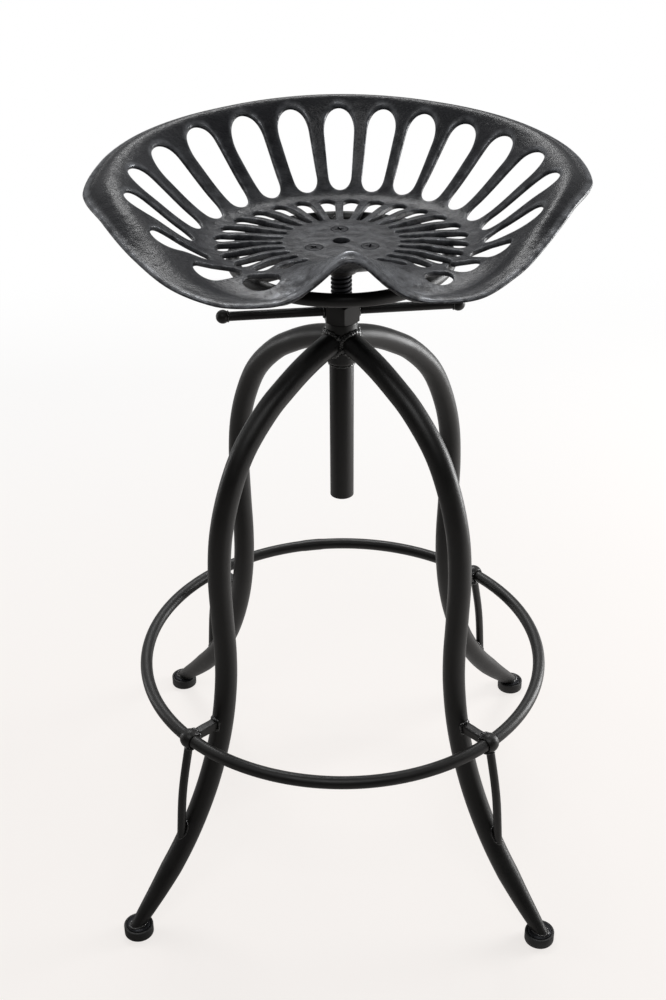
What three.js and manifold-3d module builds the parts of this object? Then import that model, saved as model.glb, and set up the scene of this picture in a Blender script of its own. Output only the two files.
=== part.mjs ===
// A stool with a cast-iron pan seat on a screw spindle, four bent tube legs and a round foot ring.
// Millimetres, +Z up. The origin is on the floor under the spindle's axis, and +Y is the seat's back.

import * as THREE from 'three';
import { mergeVertices } from 'three/addons/utils/BufferGeometryUtils.js';
import Module from 'manifold-3d';

const wasm = await Module();
wasm.setup();

// Clearances
const contactGap = 0.3;
const cutOverrun = 20;
const weldSink = 3;

// Turn of the whole underframe against the seat, as the stool stands
const frameTurn = -4.4;

// Seat casting: the widest half width, the top of the hub disc, and the rise from there to the back crest
const seatHalfWidth = 217.4;
const seatHubTop = 645;
const seatRise = 77;
const seatThickness = 7;
const seatWallThickness = 4;
const seatHubRadius = 46;
const seatHoleRadius = 7.4;
const seatRimCrown = 6.5;
const seatEdgeBulge = 2.5;

// Pommel: the ridge between the two front lobes
const pommelRise = 31;
const pommelHalfWidth = 31;
const pommelInnerHalfWidth = 62;
const pommelStart = 50;
const pommelFull = 122;

// Slots round the hub, in even steps either side of the pattern's centre line
const innerSlotCount = 24;
const innerSlotStep = 12.5;
const innerSlotTurn = -1.7;
const innerSlotStart = 51;
const innerRibWidth = 6;
const innerFanOffset = 9;

// Seat plate, its collar and the spindle
const plateRadius = 42;
const plateThickness = 3.7;
const collarTopRadius = 26;
const collarBottomRadius = 14;
const collarHeight = 17;
const collarRimThickness = 3;
const spindleRadius = 9.5;
const threadDepth = 1.6;
const threadPitch = 4;
const spindleLowerEnd = 418;
const spindleNeckRadius = 9.9;
const spindlePlainRadius = 7.1;
const spindlePlainEnd = 5;

// Countersunk screws through the hub disc
const screwCircle = 28;
const screwHeadRadius = 7.5;
const screwShankRadius = 3.8;
const screwHeadHeight = 4;
const screwRecessWidth = 1.6;
const screwRecessLength = 8;
const screwRecessDepth = 2;

// Support ring under the seat, a little above the middle of its arms
const supportRingRadius = 95;
const supportRingRise = 1.3;
const supportRodRadius = 6;
const supportArmRadius = 5;
const supportArmCount = 3;
const supportArmTurn = 90;

// Lock nut and its two arms
const nutAcrossFlats = 30;
const nutHeight = 17.3;
const nutCornerTurn = 36;
const nutChamfer = 2;
const threadClearance = 0.3;
const lockArmRadius = 4.25;
const lockArmTurn = 4.1;
const lockBallRadius = 6.2;
const lockBallReach = 106;

// Hub and sleeve
const hubTop = 570;
const hubHeight = 41.5;
const hubRadius = 14.5;
const hubChamfer = 1.5;
const sleeveRadius = 11.2;
const sleeveWall = 0.7;
const sleeveLength = 140;

// Legs
const legRadius = 10.6;
const legWall = 1.5;
const legReach = 277.7;
const legTop = 553;
const legTipLength = 62;
const legTipRadius = 6.5;
const legCount = 4;

// Feet
const footRadius = 14.3;
const footHeight = 10.5;
const footBase = 5.5;
const footRecessRadius = 11.6;
const footRounding = 1.2;
const footDiscThickness = 5;

// Foot ring, how far it stands off the legs' centre lines, its balls, bars and brace rods
const footRingStandOff = 40.5;
const footRingHeight = 200.8;
const footRodRadius = 6;
const ringBallRadius = 9.5;
const ringBarWidth = 9;
const braceRadius = 4.1;
const braceFootOffset = 8.5;
const braceBow = 3.2;

// Stop at the spindle's lower end
const stopWasherThickness = 3;
const stopScrewHeadFlats = 13;
const stopScrewHeadHeight = 5.5;
const stopScrewShankRadius = 3.9;
const stopScrewGrip = 14;

// Facets
const roundFacets = 24;
const smallFacets = 14;
const threadFacets = 8;
const tubeFacets = 10;
const ringFacets = 44;
const slotArcSteps = 3;
const legSteps = 16;
const braceSteps = 5;

// Halvings in the search for a height on the leg's line
const searchSteps = 30;

// The seat's stations from the back (0) to the pommel (1), as shares: the radii over the half width at which
// the hub's slots end, the band ends, the bowl's slots end and the edge lies, with how much farther out the
// edge is on the -X side than on average, then the rises of the slots' ends and of the edge over the back's,
// and the crown of the rim between them over the back's
const seatStationShares = {
  turn: [0, 0.167, 0.256, 0.339, 0.425, 0.5, 0.583, 0.667, 0.739, 0.806, 0.867, 0.922, 1],
  inner: [0.478, 0.483, 0.49, 0.505, 0.515, 0.51, 0.505, 0.49, 0.458, 0.412, 0.39, 0.38, 0.37],
  band: [0.527, 0.531, 0.543, 0.556, 0.563, 0.563, 0.561, 0.554, 0.543, 0.529, 0.515, 0.506, 0.497],
  slot: [0.743, 0.751, 0.787, 0.817, 0.847, 0.857, 0.797, 0.727, 0.705, 0.68, 0.65, 0.59, 0.555],
  edge: [0.83, 0.848, 0.885, 0.924, 0.974, 0.99, 0.918, 0.875, 0.858, 0.842, 0.754, 0.668, 0.632],
  skew: [0, 0, 0, 0.001, -0.002, 0.007, 0.023, 0.031, 0.031, 0.014, 0, 0, 0],
  slotRise: [0.896, 0.89, 0.862, 0.828, 0.79, 0.753, 0.565, 0.3, 0.1, 0.015, 0, 0.02, 0.05],
  crown: [1, 1, 1, 1, 1, 1, 0.9, 0.55, 0.4, 0.35, 0.4, 0.7, 1],
  edgeRise: [0.956, 0.928, 0.895, 0.852, 0.742, 0.632, 0.532, 0.37, 0.234, 0.156, 0.104, 0.078, 0.065],
};

// The leg's centre line from the hub down to the foot, as shares of its reach and of its top's height
const legLineShares = [
  { out: 0.0300, up: 0.9982 }, { out: 0.1051, up: 0.9859 }, { out: 0.1736, up: 0.9709 },
  { out: 0.2459, up: 0.9505 }, { out: 0.3219, up: 0.9251 }, { out: 0.4303, up: 0.8693 },
  { out: 0.4977, up: 0.8049 }, { out: 0.5394, up: 0.7349 }, { out: 0.5546, up: 0.6600 },
  { out: 0.5517, up: 0.5779 }, { out: 0.5459, up: 0.5000 }, { out: 0.5506, up: 0.4398 },
  { out: 0.5744, up: 0.3613 }, { out: 0.6165, up: 0.2888 }, { out: 0.6795, up: 0.2166 },
  { out: 0.7695, up: 0.1441 }, { out: 0.8808, up: 0.0794 }, { out: 1.0000, up: 0.0199 },
];

// The slots up the bowl, from the back to the -X side and then to the +X side, and last the four holes in
// the front lobes: the angles of their near and far ends from the back, and over the half width the
// distances at which they start and end and their half widths there. They fan out from behind the hub
const bowlSlots = {
  turn: [
    -2.5, 12.5, 29.4, 45.9, 62.3, 78.2, 93.2, 109.5,
    -16.7, -30.9, -44.4, -58.8, -72.8, -86, -99.3, -112.3,
    127, 143.5, -127.5, -142,
  ],
  farTurn: [
    -2.3, 14.1, 31.3, 48.2, 64.6, 80.7, 95.9, 112.6,
    -17.4, -31.9, -46.7, -61.3, -76.2, -90.4, -104.6, -117.8,
    127, 143.5, -127.5, -142,
  ],
  start: [
    0.5336, 0.5299, 0.5322, 0.5382, 0.5492, 0.575, 0.5888, 0.5497,
    0.5313, 0.5368, 0.5419, 0.5524, 0.5543, 0.5704, 0.5681, 0.5313,
    0.5083, 0.4692, 0.489, 0.5032,
  ],
  end: [
    0.7534, 0.7585, 0.7663, 0.805, 0.8284, 0.8491, 0.8464, 0.7925,
    0.7567, 0.7626, 0.7912, 0.822, 0.8528, 0.8602, 0.7925, 0.7084,
    0.7075, 0.6101, 0.627, 0.612,
  ],
  startHalf: [
    0.0497, 0.0524, 0.0543, 0.0515, 0.0561, 0.0506, 0.0483, 0.0561,
    0.0488, 0.0524, 0.0483, 0.0506, 0.0529, 0.0474, 0.0506, 0.0506,
    0.0653, 0.0704, 0.063, 0.0543,
  ],
  endHalf: [
    0.0649, 0.0672, 0.0731, 0.0699, 0.0754, 0.0727, 0.0708, 0.0662,
    0.0616, 0.0644, 0.0639, 0.0649, 0.0713, 0.0616, 0.0667, 0.0511,
    0.0616, 0.0704, 0.0616, 0.0543,
  ],
};

// The hub band's rise over the back's, and the shallow dish inside it
const bandRiseShare = 0.058;
const dishShares = { radius: 0.72, rise: 0.2 };

// The section's station at the band, and how much steeper the rim rolls down at its edge than on average
const bandStation = 3;
const rimRollShare = 1.6;

// The brace's lower end, as a share of the foot ring's height
const braceFootShare = 0.42;

// Rows of facets between the band and the slots' ends, and across the rim
const wallRingShares = [0.33, 0.67];
const rimRingShares = [0.5];

// Angles between the seat's facets: wide round the bowl, fine at the pommel
const seatWideStep = 7.5;
const seatFineStep = 3;
const seatFineFrom = 150;

const halfTurn = 180;
const fullTurn = 360;
const turnOf = THREE.MathUtils.degToRad;

// Helpers: solids for cutting and joining, and the plain shapes that the pieces start from
function solidOf(geometry) {
  const bare = geometry.clone();
  bare.deleteAttribute('normal');
  bare.deleteAttribute('uv');
  const joined = mergeVertices(bare, 1e-4);
  return new wasm.Manifold(new wasm.Mesh({
    numProp: 3,
    vertProperties: new Float32Array(joined.attributes.position.array),
    triVerts: new Uint32Array(joined.index.array),
  }));
}

function shapeOf(solid) {
  const mesh = solid.getMesh();
  const geometry = new THREE.BufferGeometry();
  geometry.setAttribute('position', new THREE.BufferAttribute(mesh.vertProperties, 3));
  geometry.setIndex(new THREE.BufferAttribute(mesh.triVerts, 1));
  geometry.computeVertexNormals();
  return geometry;
}

function cut(body, cutters) {
  return cutters.reduce((rest, cutter) => rest.subtract(cutter), body);
}

function turned(profile, facets = roundFacets) {
  const points = profile.map(([radius, height]) => new THREE.Vector2(radius, height));
  const lathe = new THREE.LatheGeometry(points, facets);
  lathe.rotateX(Math.PI / 2);
  return lathe;
}

function rod(from, to, radius, facets = tubeFacets, endRadius = radius) {
  const along = to.clone().sub(from);
  const geometry = new THREE.CylinderGeometry(endRadius, radius, along.length(), facets);
  const middle = from.clone().add(to).multiplyScalar(0.5);
  const upright = new THREE.Vector3(0, 1, 0);
  geometry.applyQuaternion(new THREE.Quaternion().setFromUnitVectors(upright, along.normalize()));
  geometry.translate(middle.x, middle.y, middle.z);
  return geometry;
}

function tubeAlong(path, radius, steps, bore = 0) {
  const section = new THREE.Shape();
  section.absarc(0, 0, radius, 0, 2 * Math.PI, false);
  if (bore > 0) {
    const hole = new THREE.Path();
    hole.absarc(0, 0, bore, 0, 2 * Math.PI, true);
    section.holes.push(hole);
  }
  return new THREE.ExtrudeGeometry(section, {
    steps,
    extrudePath: path,
    curveSegments: tubeFacets / 2,
  });
}

function ringRod(ringRadius, height, rodRadius) {
  const ring = new THREE.TorusGeometry(ringRadius, rodRadius, tubeFacets, ringFacets);
  ring.translate(0, 0, height);
  return ring;
}

function polar(radius, angle, height) {
  const turn = turnOf(angle);
  return new THREE.Vector3(radius * Math.cos(turn), radius * Math.sin(turn), height);
}

// A cubic through the stations that never overshoots them before the one numbered freeFrom
function smoothThrough(places, values, place, startSlope = 0, endSlope = null, freeFrom = Infinity) {
  const last = places.length - 1;
  const secants = values.slice(1).map((value, i) => (value - values[i]) / (places[i + 1] - places[i]));
  const slopes = values.map((value, i) => {
    if (i === 0) return startSlope;
    if (i === last) return endSlope ?? secants[last - 1];
    if (i >= freeFrom) return (secants[i - 1] + secants[i]) / 2;
    if (secants[i - 1] * secants[i] <= 0) return 0;
    return 2 * secants[i - 1] * secants[i] / (secants[i - 1] + secants[i]);
  });
  let i = 0;
  while (i < last - 1 && place > places[i + 1]) i += 1;
  const span = places[i + 1] - places[i];
  const t = THREE.MathUtils.clamp((place - places[i]) / span, 0, 1);
  const back = 1 - t;
  return values[i] * back * back * (1 + 2 * t)
    + values[i + 1] * t * t * (3 - 2 * t)
    + span * slopes[i] * t * back * back
    - span * slopes[i + 1] * t * t * back;
}

// The seat's sizes at an angle from its back, counted anticlockwise from above
function seatShare(key, angle) {
  return smoothThrough(seatStationShares.turn, seatStationShares[key], Math.abs(angle) / halfTurn, 0, 0);
}

function seatSizes(angle) {
  const skew = 1 + Math.sign(angle) * seatShare('skew', angle);
  return {
    inner: seatShare('inner', angle) * seatHalfWidth,
    band: seatShare('band', angle) * seatHalfWidth,
    slot: seatShare('slot', angle) * seatHalfWidth,
    edge: seatShare('edge', angle) * skew * seatHalfWidth,
    slotRise: seatShare('slotRise', angle) * seatRise,
    crown: seatShare('crown', angle) * seatRimCrown,
    edgeRise: seatShare('edgeRise', angle) * seatRise,
  };
}

function seatHeight(x, y) {
  const radius = Math.hypot(x, y);
  const angle = THREE.MathUtils.radToDeg(Math.atan2(-x, y));
  const sizes = seatSizes(angle);
  const bandRise = bandRiseShare * seatRise;
  const rimMiddle = (sizes.slot + sizes.edge) / 2;
  const rimRise = (sizes.slotRise + sizes.edgeRise) / 2 + sizes.crown;
  const rimSlope = (sizes.edgeRise - rimRise) / (sizes.edge - rimMiddle);
  const bowl = smoothThrough(
    [0, seatHubRadius, dishShares.radius * sizes.band, sizes.band, sizes.slot, rimMiddle, sizes.edge],
    [0, 0, dishShares.rise * bandRise, bandRise, sizes.slotRise, rimRise, sizes.edgeRise],
    radius,
    0,
    rimRollShare * rimSlope,
    bandStation,
  );
  const ramp = y < 0 ? THREE.MathUtils.smoothstep(radius, pommelStart, pommelFull) : 0;
  const spread = THREE.MathUtils.lerp(pommelInnerHalfWidth, pommelHalfWidth, ramp);
  const pommel = pommelRise * ramp * Math.exp(-((x / spread) ** 2));
  return seatHubTop + bowl + pommel;
}

function seatPoint(angle, radius) {
  const turn = turnOf(angle);
  const x = -radius * Math.sin(turn);
  const y = radius * Math.cos(turn);
  return new THREE.Vector3(x, y, seatHeight(x, y));
}

function seatNormal(point) {
  const probe = seatThickness / 10;
  const { x, y } = point;
  const slopeX = (seatHeight(x + probe, y) - seatHeight(x - probe, y)) / (2 * probe);
  const slopeY = (seatHeight(x, y + probe) - seatHeight(x, y - probe)) / (2 * probe);
  return new THREE.Vector3(-slopeX, -slopeY, 1).normalize();
}

function wallThickness(angle, point) {
  const sizes = seatSizes(angle);
  const thinnest = (sizes.band + sizes.slot) / 2;
  const wall = THREE.MathUtils.smoothstep(Math.hypot(point.x, point.y), seatHubRadius, thinnest);
  return THREE.MathUtils.lerp(seatThickness, seatWallThickness, wall);
}

function seatAngles() {
  const half = [];
  for (let angle = 0; angle < seatFineFrom; angle += seatWideStep) half.push(angle);
  for (let angle = seatFineFrom; angle < halfTurn; angle += seatFineStep) half.push(angle);
  const mirrored = half.slice(1).reverse().map((angle) => -angle);
  return [...half, halfTurn, ...mirrored];
}

function seatRadii(angle) {
  const sizes = seatSizes(angle);
  const wall = wallRingShares.map((share) => THREE.MathUtils.lerp(sizes.band, sizes.slot, share));
  const rim = rimRingShares.map((share) => THREE.MathUtils.lerp(sizes.slot, sizes.edge, share));
  const dish = dishShares.radius * sizes.band;
  return [seatHoleRadius, seatHubRadius, dish, sizes.band, ...wall, sizes.slot, ...rim, sizes.edge];
}

function seatShell() {
  const positions = [];
  const loops = [];
  for (const angle of seatAngles()) {
    const top = seatRadii(angle).map((radius) => seatPoint(angle, radius));
    const normals = top.map((point) => seatNormal(point));
    const flat = normals.map((normal, i) => (i < 2 ? new THREE.Vector3(0, 0, 1) : normal));
    const under = top.map((point, i) => point.clone().addScaledVector(flat[i], -wallThickness(angle, point)));
    const outer = top.length - 1;
    const edge = top[outer].clone().add(under[outer]).multiplyScalar(0.5);
    const outward = top[outer].clone().sub(top[outer - 1]).normalize();
    edge.addScaledVector(outward, seatEdgeBulge);
    const loop = [...top, edge, ...under.reverse()];
    loops.push(loop.map((point) => positions.push(point.x, point.y, point.z) / 3 - 1));
  }
  const faces = [];
  loops.forEach((loop, i) => {
    const next = loops[(i + 1) % loops.length];
    loop.forEach((corner, j) => {
      const after = (j + 1) % loop.length;
      faces.push(corner, loop[after], next[j]);
      faces.push(loop[after], next[after], next[j]);
    });
  });
  const geometry = new THREE.BufferGeometry();
  geometry.setAttribute('position', new THREE.Float32BufferAttribute(positions, 3));
  geometry.setIndex(faces);
  return geometry;
}

// A place on the seat in plan, at an angle from its back
function seatPlace(angle, radius) {
  const turn = turnOf(angle + halfTurn / 2);
  return new THREE.Vector2(radius * Math.cos(turn), radius * Math.sin(turn));
}

// A cutter for a slot with round ends between two centres
function slotCutter(near, far, nearHalf, farHalf) {
  const along = far.clone().sub(near);
  const length = along.length();
  const tangent = Math.acos((nearHalf - farHalf) / length);
  const outline = new THREE.Shape();
  outline.absarc(length, 0, farHalf, -tangent, tangent, false);
  outline.absarc(0, 0, nearHalf, tangent, 2 * Math.PI - tangent, false);
  const depth = seatRise + 2 * cutOverrun;
  const extrusion = { depth, bevelEnabled: false, curveSegments: slotArcSteps };
  const prism = new THREE.ExtrudeGeometry(outline, extrusion);
  prism.rotateZ(along.angle());
  prism.translate(near.x, near.y, seatHubTop - cutOverrun);
  return solidOf(prism);
}

// The slots round the hub fan out from a little behind its axis
function innerSlots() {
  const slots = [];
  const half = Math.sin(turnOf(innerSlotStep / 2));
  const fanCentre = new THREE.Vector2(0, innerFanOffset);
  for (let i = 0; i < innerSlotCount; i += 1) {
    const place = i - (innerSlotCount - 1) / 2;
    const angle = innerSlotTurn + place * innerSlotStep;
    const end = seatSizes(angle).inner;
    const startHalf = (innerSlotStart * half - innerRibWidth / 2) / (1 - half);
    const endHalf = (end * half - innerRibWidth / 2) / (1 + half);
    const near = seatPlace(angle, innerSlotStart + startHalf);
    const along = near.clone().sub(fanCentre).normalize();
    const inwards = near.dot(along);
    const reach = Math.sqrt(inwards ** 2 + (end - endHalf) ** 2 - near.lengthSq()) - inwards;
    slots.push(slotCutter(near, near.clone().addScaledVector(along, reach), startHalf, endHalf));
  }
  return slots;
}

function bowlSlotCutters() {
  return bowlSlots.turn.map((turn, i) => {
    const startHalf = bowlSlots.startHalf[i] * seatHalfWidth;
    const endHalf = bowlSlots.endHalf[i] * seatHalfWidth;
    const near = seatPlace(turn, bowlSlots.start[i] * seatHalfWidth + startHalf);
    const far = seatPlace(bowlSlots.farTurn[i], bowlSlots.end[i] * seatHalfWidth - endHalf);
    return slotCutter(near, far, startHalf, endHalf);
  });
}

// Levels of the seat unit and of the lock, from the hub disc down
const hubDiscUnder = seatHubTop - seatThickness;
const plateTop = hubDiscUnder - contactGap;
const plateUnder = plateTop - plateThickness;
const collarTop = plateUnder - contactGap;
const collarUnder = collarTop - collarHeight;
const supportArmMiddle = plateUnder - contactGap - supportArmRadius;
const nutUnder = hubTop + contactGap;
const nutMiddle = nutUnder + nutHeight / 2;
const hubUnder = hubTop - hubHeight;
const sleeveTop = hubUnder - contactGap;
const discUnder = footBase + contactGap;
const discTop = discUnder + footDiscThickness;
const threadBore = spindleRadius + threadClearance;
const sleeveBore = sleeveRadius - sleeveWall;

function screwAngles() {
  const angles = [];
  for (let i = 0; i < supportArmCount; i += 1) angles.push(supportArmTurn + i * fullTurn / supportArmCount);
  return angles;
}

function legAngles() {
  const angles = [];
  for (let i = 0; i < legCount; i += 1) angles.push(frameTurn + (i + 1 / 2) * fullTurn / legCount);
  return angles;
}

// A cylinder on the seat's axis or beside it, between two levels
function column(x, y, low, high, radius, facets = roundFacets) {
  const from = new THREE.Vector3(x, y, low);
  const to = new THREE.Vector3(x, y, high);
  return rod(from, to, radius, facets);
}

function screwOutline(clearance) {
  const headUnder = seatHubTop - screwHeadHeight;
  const end = plateUnder + contactGap - clearance;
  return [
    [0, end],
    [screwShankRadius + clearance, end],
    [screwShankRadius + clearance, headUnder],
    [screwHeadRadius + clearance, seatHubTop],
  ];
}

function seatScrew(angle) {
  const place = polar(screwCircle, angle, 0);
  const body = turned([...screwOutline(0), [0, seatHubTop]], smallFacets);
  const recess = [0, halfTurn / 2].map((turn) => {
    const bar = new THREE.BoxGeometry(screwRecessLength, screwRecessWidth, 2 * screwRecessDepth);
    bar.rotateZ(turnOf(turn));
    bar.translate(0, 0, seatHubTop);
    return solidOf(bar);
  });
  return shapeOf(cut(solidOf(body), recess).translate(place.x, place.y, 0));
}

function screwHoles() {
  const low = plateUnder - cutOverrun;
  const high = seatHubTop + cutOverrun;
  const outline = screwOutline(contactGap);
  const hole = [[0, low], [outline[1][0], low], ...outline.slice(2)];
  const wide = turned([...hole, [screwHeadRadius + contactGap, high], [0, high]], smallFacets);
  return screwAngles().map((angle) => {
    const place = polar(screwCircle, angle, 0);
    return solidOf(wide).translate(place.x, place.y, 0);
  });
}

function seatCasting() {
  const shell = solidOf(seatShell());
  const cutters = [...innerSlots(), ...bowlSlotCutters(), ...screwHoles()];
  return shapeOf(cut(shell, cutters));
}

function seatPlate() {
  const disc = solidOf(column(0, 0, plateUnder, plateTop, plateRadius));
  return shapeOf(cut(disc, screwHoles()));
}

function collarOutline(clearance) {
  const rimUnder = collarTop - collarRimThickness;
  return [
    [collarBottomRadius + clearance, collarUnder],
    [collarTopRadius + clearance, rimUnder],
    [collarTopRadius + clearance, collarTop],
  ];
}

function seatCollar() {
  const bore = spindleNeckRadius + contactGap;
  const inside = [[bore, collarTop], [bore, collarUnder]];
  return turned([...collarOutline(0), ...inside, collarOutline(0)[0]]);
}

// The thread as one helical strip of crests and roots, closed at both ends
function threadBody(low, high) {
  const turns = Math.round((high - low) / threadPitch);
  const last = turns * threadFacets;
  const positions = [0, 0, low, 0, 0, low + (turns + 1) * threadPitch];
  for (let i = 0; i <= last; i += 1) {
    const angle = fullTurn * i / threadFacets;
    const height = low + threadPitch * i / threadFacets;
    const crest = polar(spindleRadius, angle, height);
    const root = polar(spindleRadius - threadDepth, angle, height + threadPitch / 2);
    positions.push(crest.x, crest.y, crest.z, root.x, root.y, root.z);
  }
  const crestAt = (i) => 2 + 2 * i;
  const rootAt = (i) => crestAt(i) + 1;
  const faces = [];
  for (let i = 0; i < last; i += 1) {
    faces.push(crestAt(i), crestAt(i + 1), rootAt(i + 1), crestAt(i), rootAt(i + 1), rootAt(i));
    if (i >= last - threadFacets) continue;
    const crest = crestAt(i + threadFacets);
    const nextCrest = crestAt(i + threadFacets + 1);
    faces.push(rootAt(i), rootAt(i + 1), nextCrest, rootAt(i), nextCrest, crest);
  }
  for (let i = 0; i < threadFacets; i += 1) {
    faces.push(0, crestAt(i + 1), crestAt(i));
    faces.push(1, rootAt(last - threadFacets + i), rootAt(last - threadFacets + i + 1));
  }
  faces.push(0, rootAt(0), crestAt(threadFacets), 0, crestAt(0), rootAt(0));
  faces.push(1, rootAt(last), crestAt(last), 1, crestAt(last), rootAt(last - threadFacets));
  const geometry = new THREE.BufferGeometry();
  geometry.setAttribute('position', new THREE.Float32BufferAttribute(positions, 3));
  geometry.setIndex(faces);
  return solidOf(geometry);
}

function spindle() {
  const threadLow = spindleLowerEnd + spindlePlainEnd;
  const thread = threadBody(threadLow, collarUnder);
  const neck = column(0, 0, collarUnder - threadDepth, collarTop, spindleNeckRadius);
  const plain = column(0, 0, spindleLowerEnd, threadLow + 2 * threadPitch, spindlePlainRadius);
  const screwTop = spindleLowerEnd + stopScrewGrip;
  const screwHole = column(0, 0, spindleLowerEnd - cutOverrun, screwTop, stopScrewShankRadius + contactGap);
  return shapeOf(thread.add(solidOf(neck)).add(solidOf(plain)).subtract(solidOf(screwHole)));
}

function supportRing(clearance = 0) {
  return ringRod(supportRingRadius, supportArmMiddle + supportRingRise, supportRodRadius + clearance);
}

function supportArm(angle) {
  const near = polar(collarBottomRadius, angle, supportArmMiddle);
  const far = polar(supportRingRadius - supportRodRadius + weldSink, angle, supportArmMiddle);
  const bar = rod(near, far, supportArmRadius);
  const core = [[0, collarUnder], ...collarOutline(contactGap), [0, collarTop]];
  return shapeOf(cut(solidOf(bar), [solidOf(turned(core)), solidOf(supportRing(contactGap))]));
}

// Lock nut with an arm and a ball on either side
function nutPrism(clearance) {
  const acrossCorners = (nutAcrossFlats + 2 * clearance) / Math.cos(turnOf(fullTurn / 12));
  const prism = column(0, 0, nutUnder, nutUnder + nutHeight, acrossCorners / 2, 6);
  prism.rotateZ(turnOf(nutCornerTurn + halfTurn / 2));
  return solidOf(prism);
}

function lockNut() {
  const cornerRadius = nutAcrossFlats / 2 / Math.cos(turnOf(fullTurn / 12));
  const top = nutUnder + nutHeight;
  const chamfered = turned([
    [0, nutUnder],
    [cornerRadius - nutChamfer, nutUnder],
    [cornerRadius, nutUnder + nutChamfer / 2],
    [cornerRadius, top - nutChamfer / 2],
    [cornerRadius - nutChamfer, top],
    [0, top],
  ]);
  const bore = column(0, 0, nutUnder - cutOverrun, top + cutOverrun, threadBore);
  return shapeOf(nutPrism(0).intersect(solidOf(chamfered)).subtract(solidOf(bore)));
}

function lockBall(angle, clearance = 0) {
  const ball = new THREE.SphereGeometry(lockBallRadius + clearance, smallFacets, smallFacets / 2);
  const place = polar(lockBallReach, angle, nutMiddle);
  ball.translate(place.x, place.y, place.z);
  return ball;
}

function lockArm(angle) {
  const start = polar(threadBore, angle, nutMiddle);
  const bar = rod(start, polar(lockBallReach, angle, nutMiddle), lockArmRadius);
  return shapeOf(cut(solidOf(bar), [nutPrism(contactGap), solidOf(lockBall(angle, contactGap))]));
}

function hub() {
  return turned([
    [threadBore, hubUnder],
    [hubRadius - hubChamfer, hubUnder],
    [hubRadius, hubUnder + hubChamfer],
    [hubRadius, hubTop - hubChamfer],
    [hubRadius - hubChamfer, hubTop],
    [threadBore, hubTop],
    [threadBore, hubUnder],
  ]);
}

function sleeveTube() {
  const low = sleeveTop - sleeveLength;
  return turned([
    [sleeveBore, low],
    [sleeveRadius, low],
    [sleeveRadius, sleeveTop],
    [sleeveBore, sleeveTop],
    [sleeveBore, low],
  ]);
}

// One leg at an angle round the hub: a bent tube whose end narrows into the foot
function legPoint(share, angle) {
  return polar(share.out * legReach, angle, share.up * legTop);
}

function legPath(angle) {
  return new THREE.CatmullRomCurve3(legLineShares.map((share) => legPoint(share, angle)));
}

// How far out the leg's centre line is at a height
function legOutAt(height) {
  const path = legPath(0);
  let above = 0;
  let below = 1;
  for (let i = 0; i < searchSteps; i += 1) {
    const middle = (above + below) / 2;
    if (path.getPoint(middle).z > height) above = middle;
    else below = middle;
  }
  return path.getPoint(above).x;
}

function legTubePath(angle) {
  const whole = legPath(angle);
  const tubeShare = 1 - legTipLength / whole.getLength();
  const points = [];
  for (let i = 0; i <= legSteps; i += 1) points.push(whole.getPointAt(tubeShare * i / legSteps));
  return new THREE.CatmullRomCurve3(points);
}

function legTip(angle) {
  const end = legPoint(legLineShares[legLineShares.length - 1], angle);
  const tubeEnd = legTubePath(angle).getPoint(1);
  const along = end.clone().sub(tubeEnd).normalize();
  const start = tubeEnd.addScaledVector(along, -weldSink);
  const below = end.clone().addScaledVector(along, footHeight);
  return solidOf(rod(start, below, legRadius - legWall / 3, tubeFacets, legTipRadius));
}

// A wedge between two neighbouring legs' meeting planes
function legWedge(angle) {
  const half = turnOf(halfTurn / legCount);
  const far = legReach * 2;
  const apex = contactGap / 2 / Math.sin(half);
  const outline = new THREE.Shape();
  outline.moveTo(apex, 0);
  outline.lineTo(apex + far * Math.cos(half), -far * Math.sin(half));
  outline.lineTo(apex + far * Math.cos(half), far * Math.sin(half));
  const wedge = new THREE.ExtrudeGeometry(outline, { depth: hubTop, bevelEnabled: false });
  wedge.rotateZ(turnOf(angle));
  wedge.translate(0, 0, discTop + contactGap);
  return solidOf(wedge);
}

function leg(angle) {
  const tube = solidOf(tubeAlong(legTubePath(angle), legRadius, legSteps, legRadius - legWall));
  const fatHub = column(0, 0, hubUnder - cutOverrun, hubTop + cutOverrun, hubRadius + contactGap);
  return shapeOf(tube.add(legTip(angle)).intersect(legWedge(angle)).subtract(solidOf(fatHub)));
}

function legSolid(angle, clearance) {
  return solidOf(tubeAlong(legPath(angle), legRadius + clearance, legSteps));
}

// A rubber foot, and the steel disc in its recess on which the leg stands
function rubberFoot(angle) {
  const recessUnder = discUnder - contactGap;
  const foot = turned([
    [0, 0],
    [footRadius - footRounding, 0],
    [footRadius, footRounding],
    [footRadius, footHeight - footRounding],
    [footRadius - footRounding, footHeight],
    [footRecessRadius, footHeight],
    [footRecessRadius, recessUnder],
    [0, recessUnder],
  ], smallFacets);
  const place = polar(legReach, angle, 0);
  foot.translate(place.x, place.y, 0);
  return foot;
}

function footDisc(angle) {
  const place = polar(legReach, angle, 0);
  return column(place.x, place.y, discUnder, discTop, footRecessRadius - contactGap, smallFacets);
}

// Foot ring, and at each leg a ball on the ring, a bar to the leg and a brace rod down to it
const footRingRadius = legOutAt(footRingHeight) + footRingStandOff;

function footRing(clearance = 0) {
  return ringRod(footRingRadius, footRingHeight, footRodRadius + clearance);
}

function ringBallSphere(angle, clearance) {
  const ball = new THREE.SphereGeometry(ringBallRadius + clearance, smallFacets, smallFacets / 2);
  const place = polar(footRingRadius, angle, footRingHeight);
  ball.translate(place.x, place.y, place.z);
  return solidOf(ball);
}

function ringBall(angle) {
  return shapeOf(ringBallSphere(angle, 0).subtract(solidOf(footRing(contactGap))));
}

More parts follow.
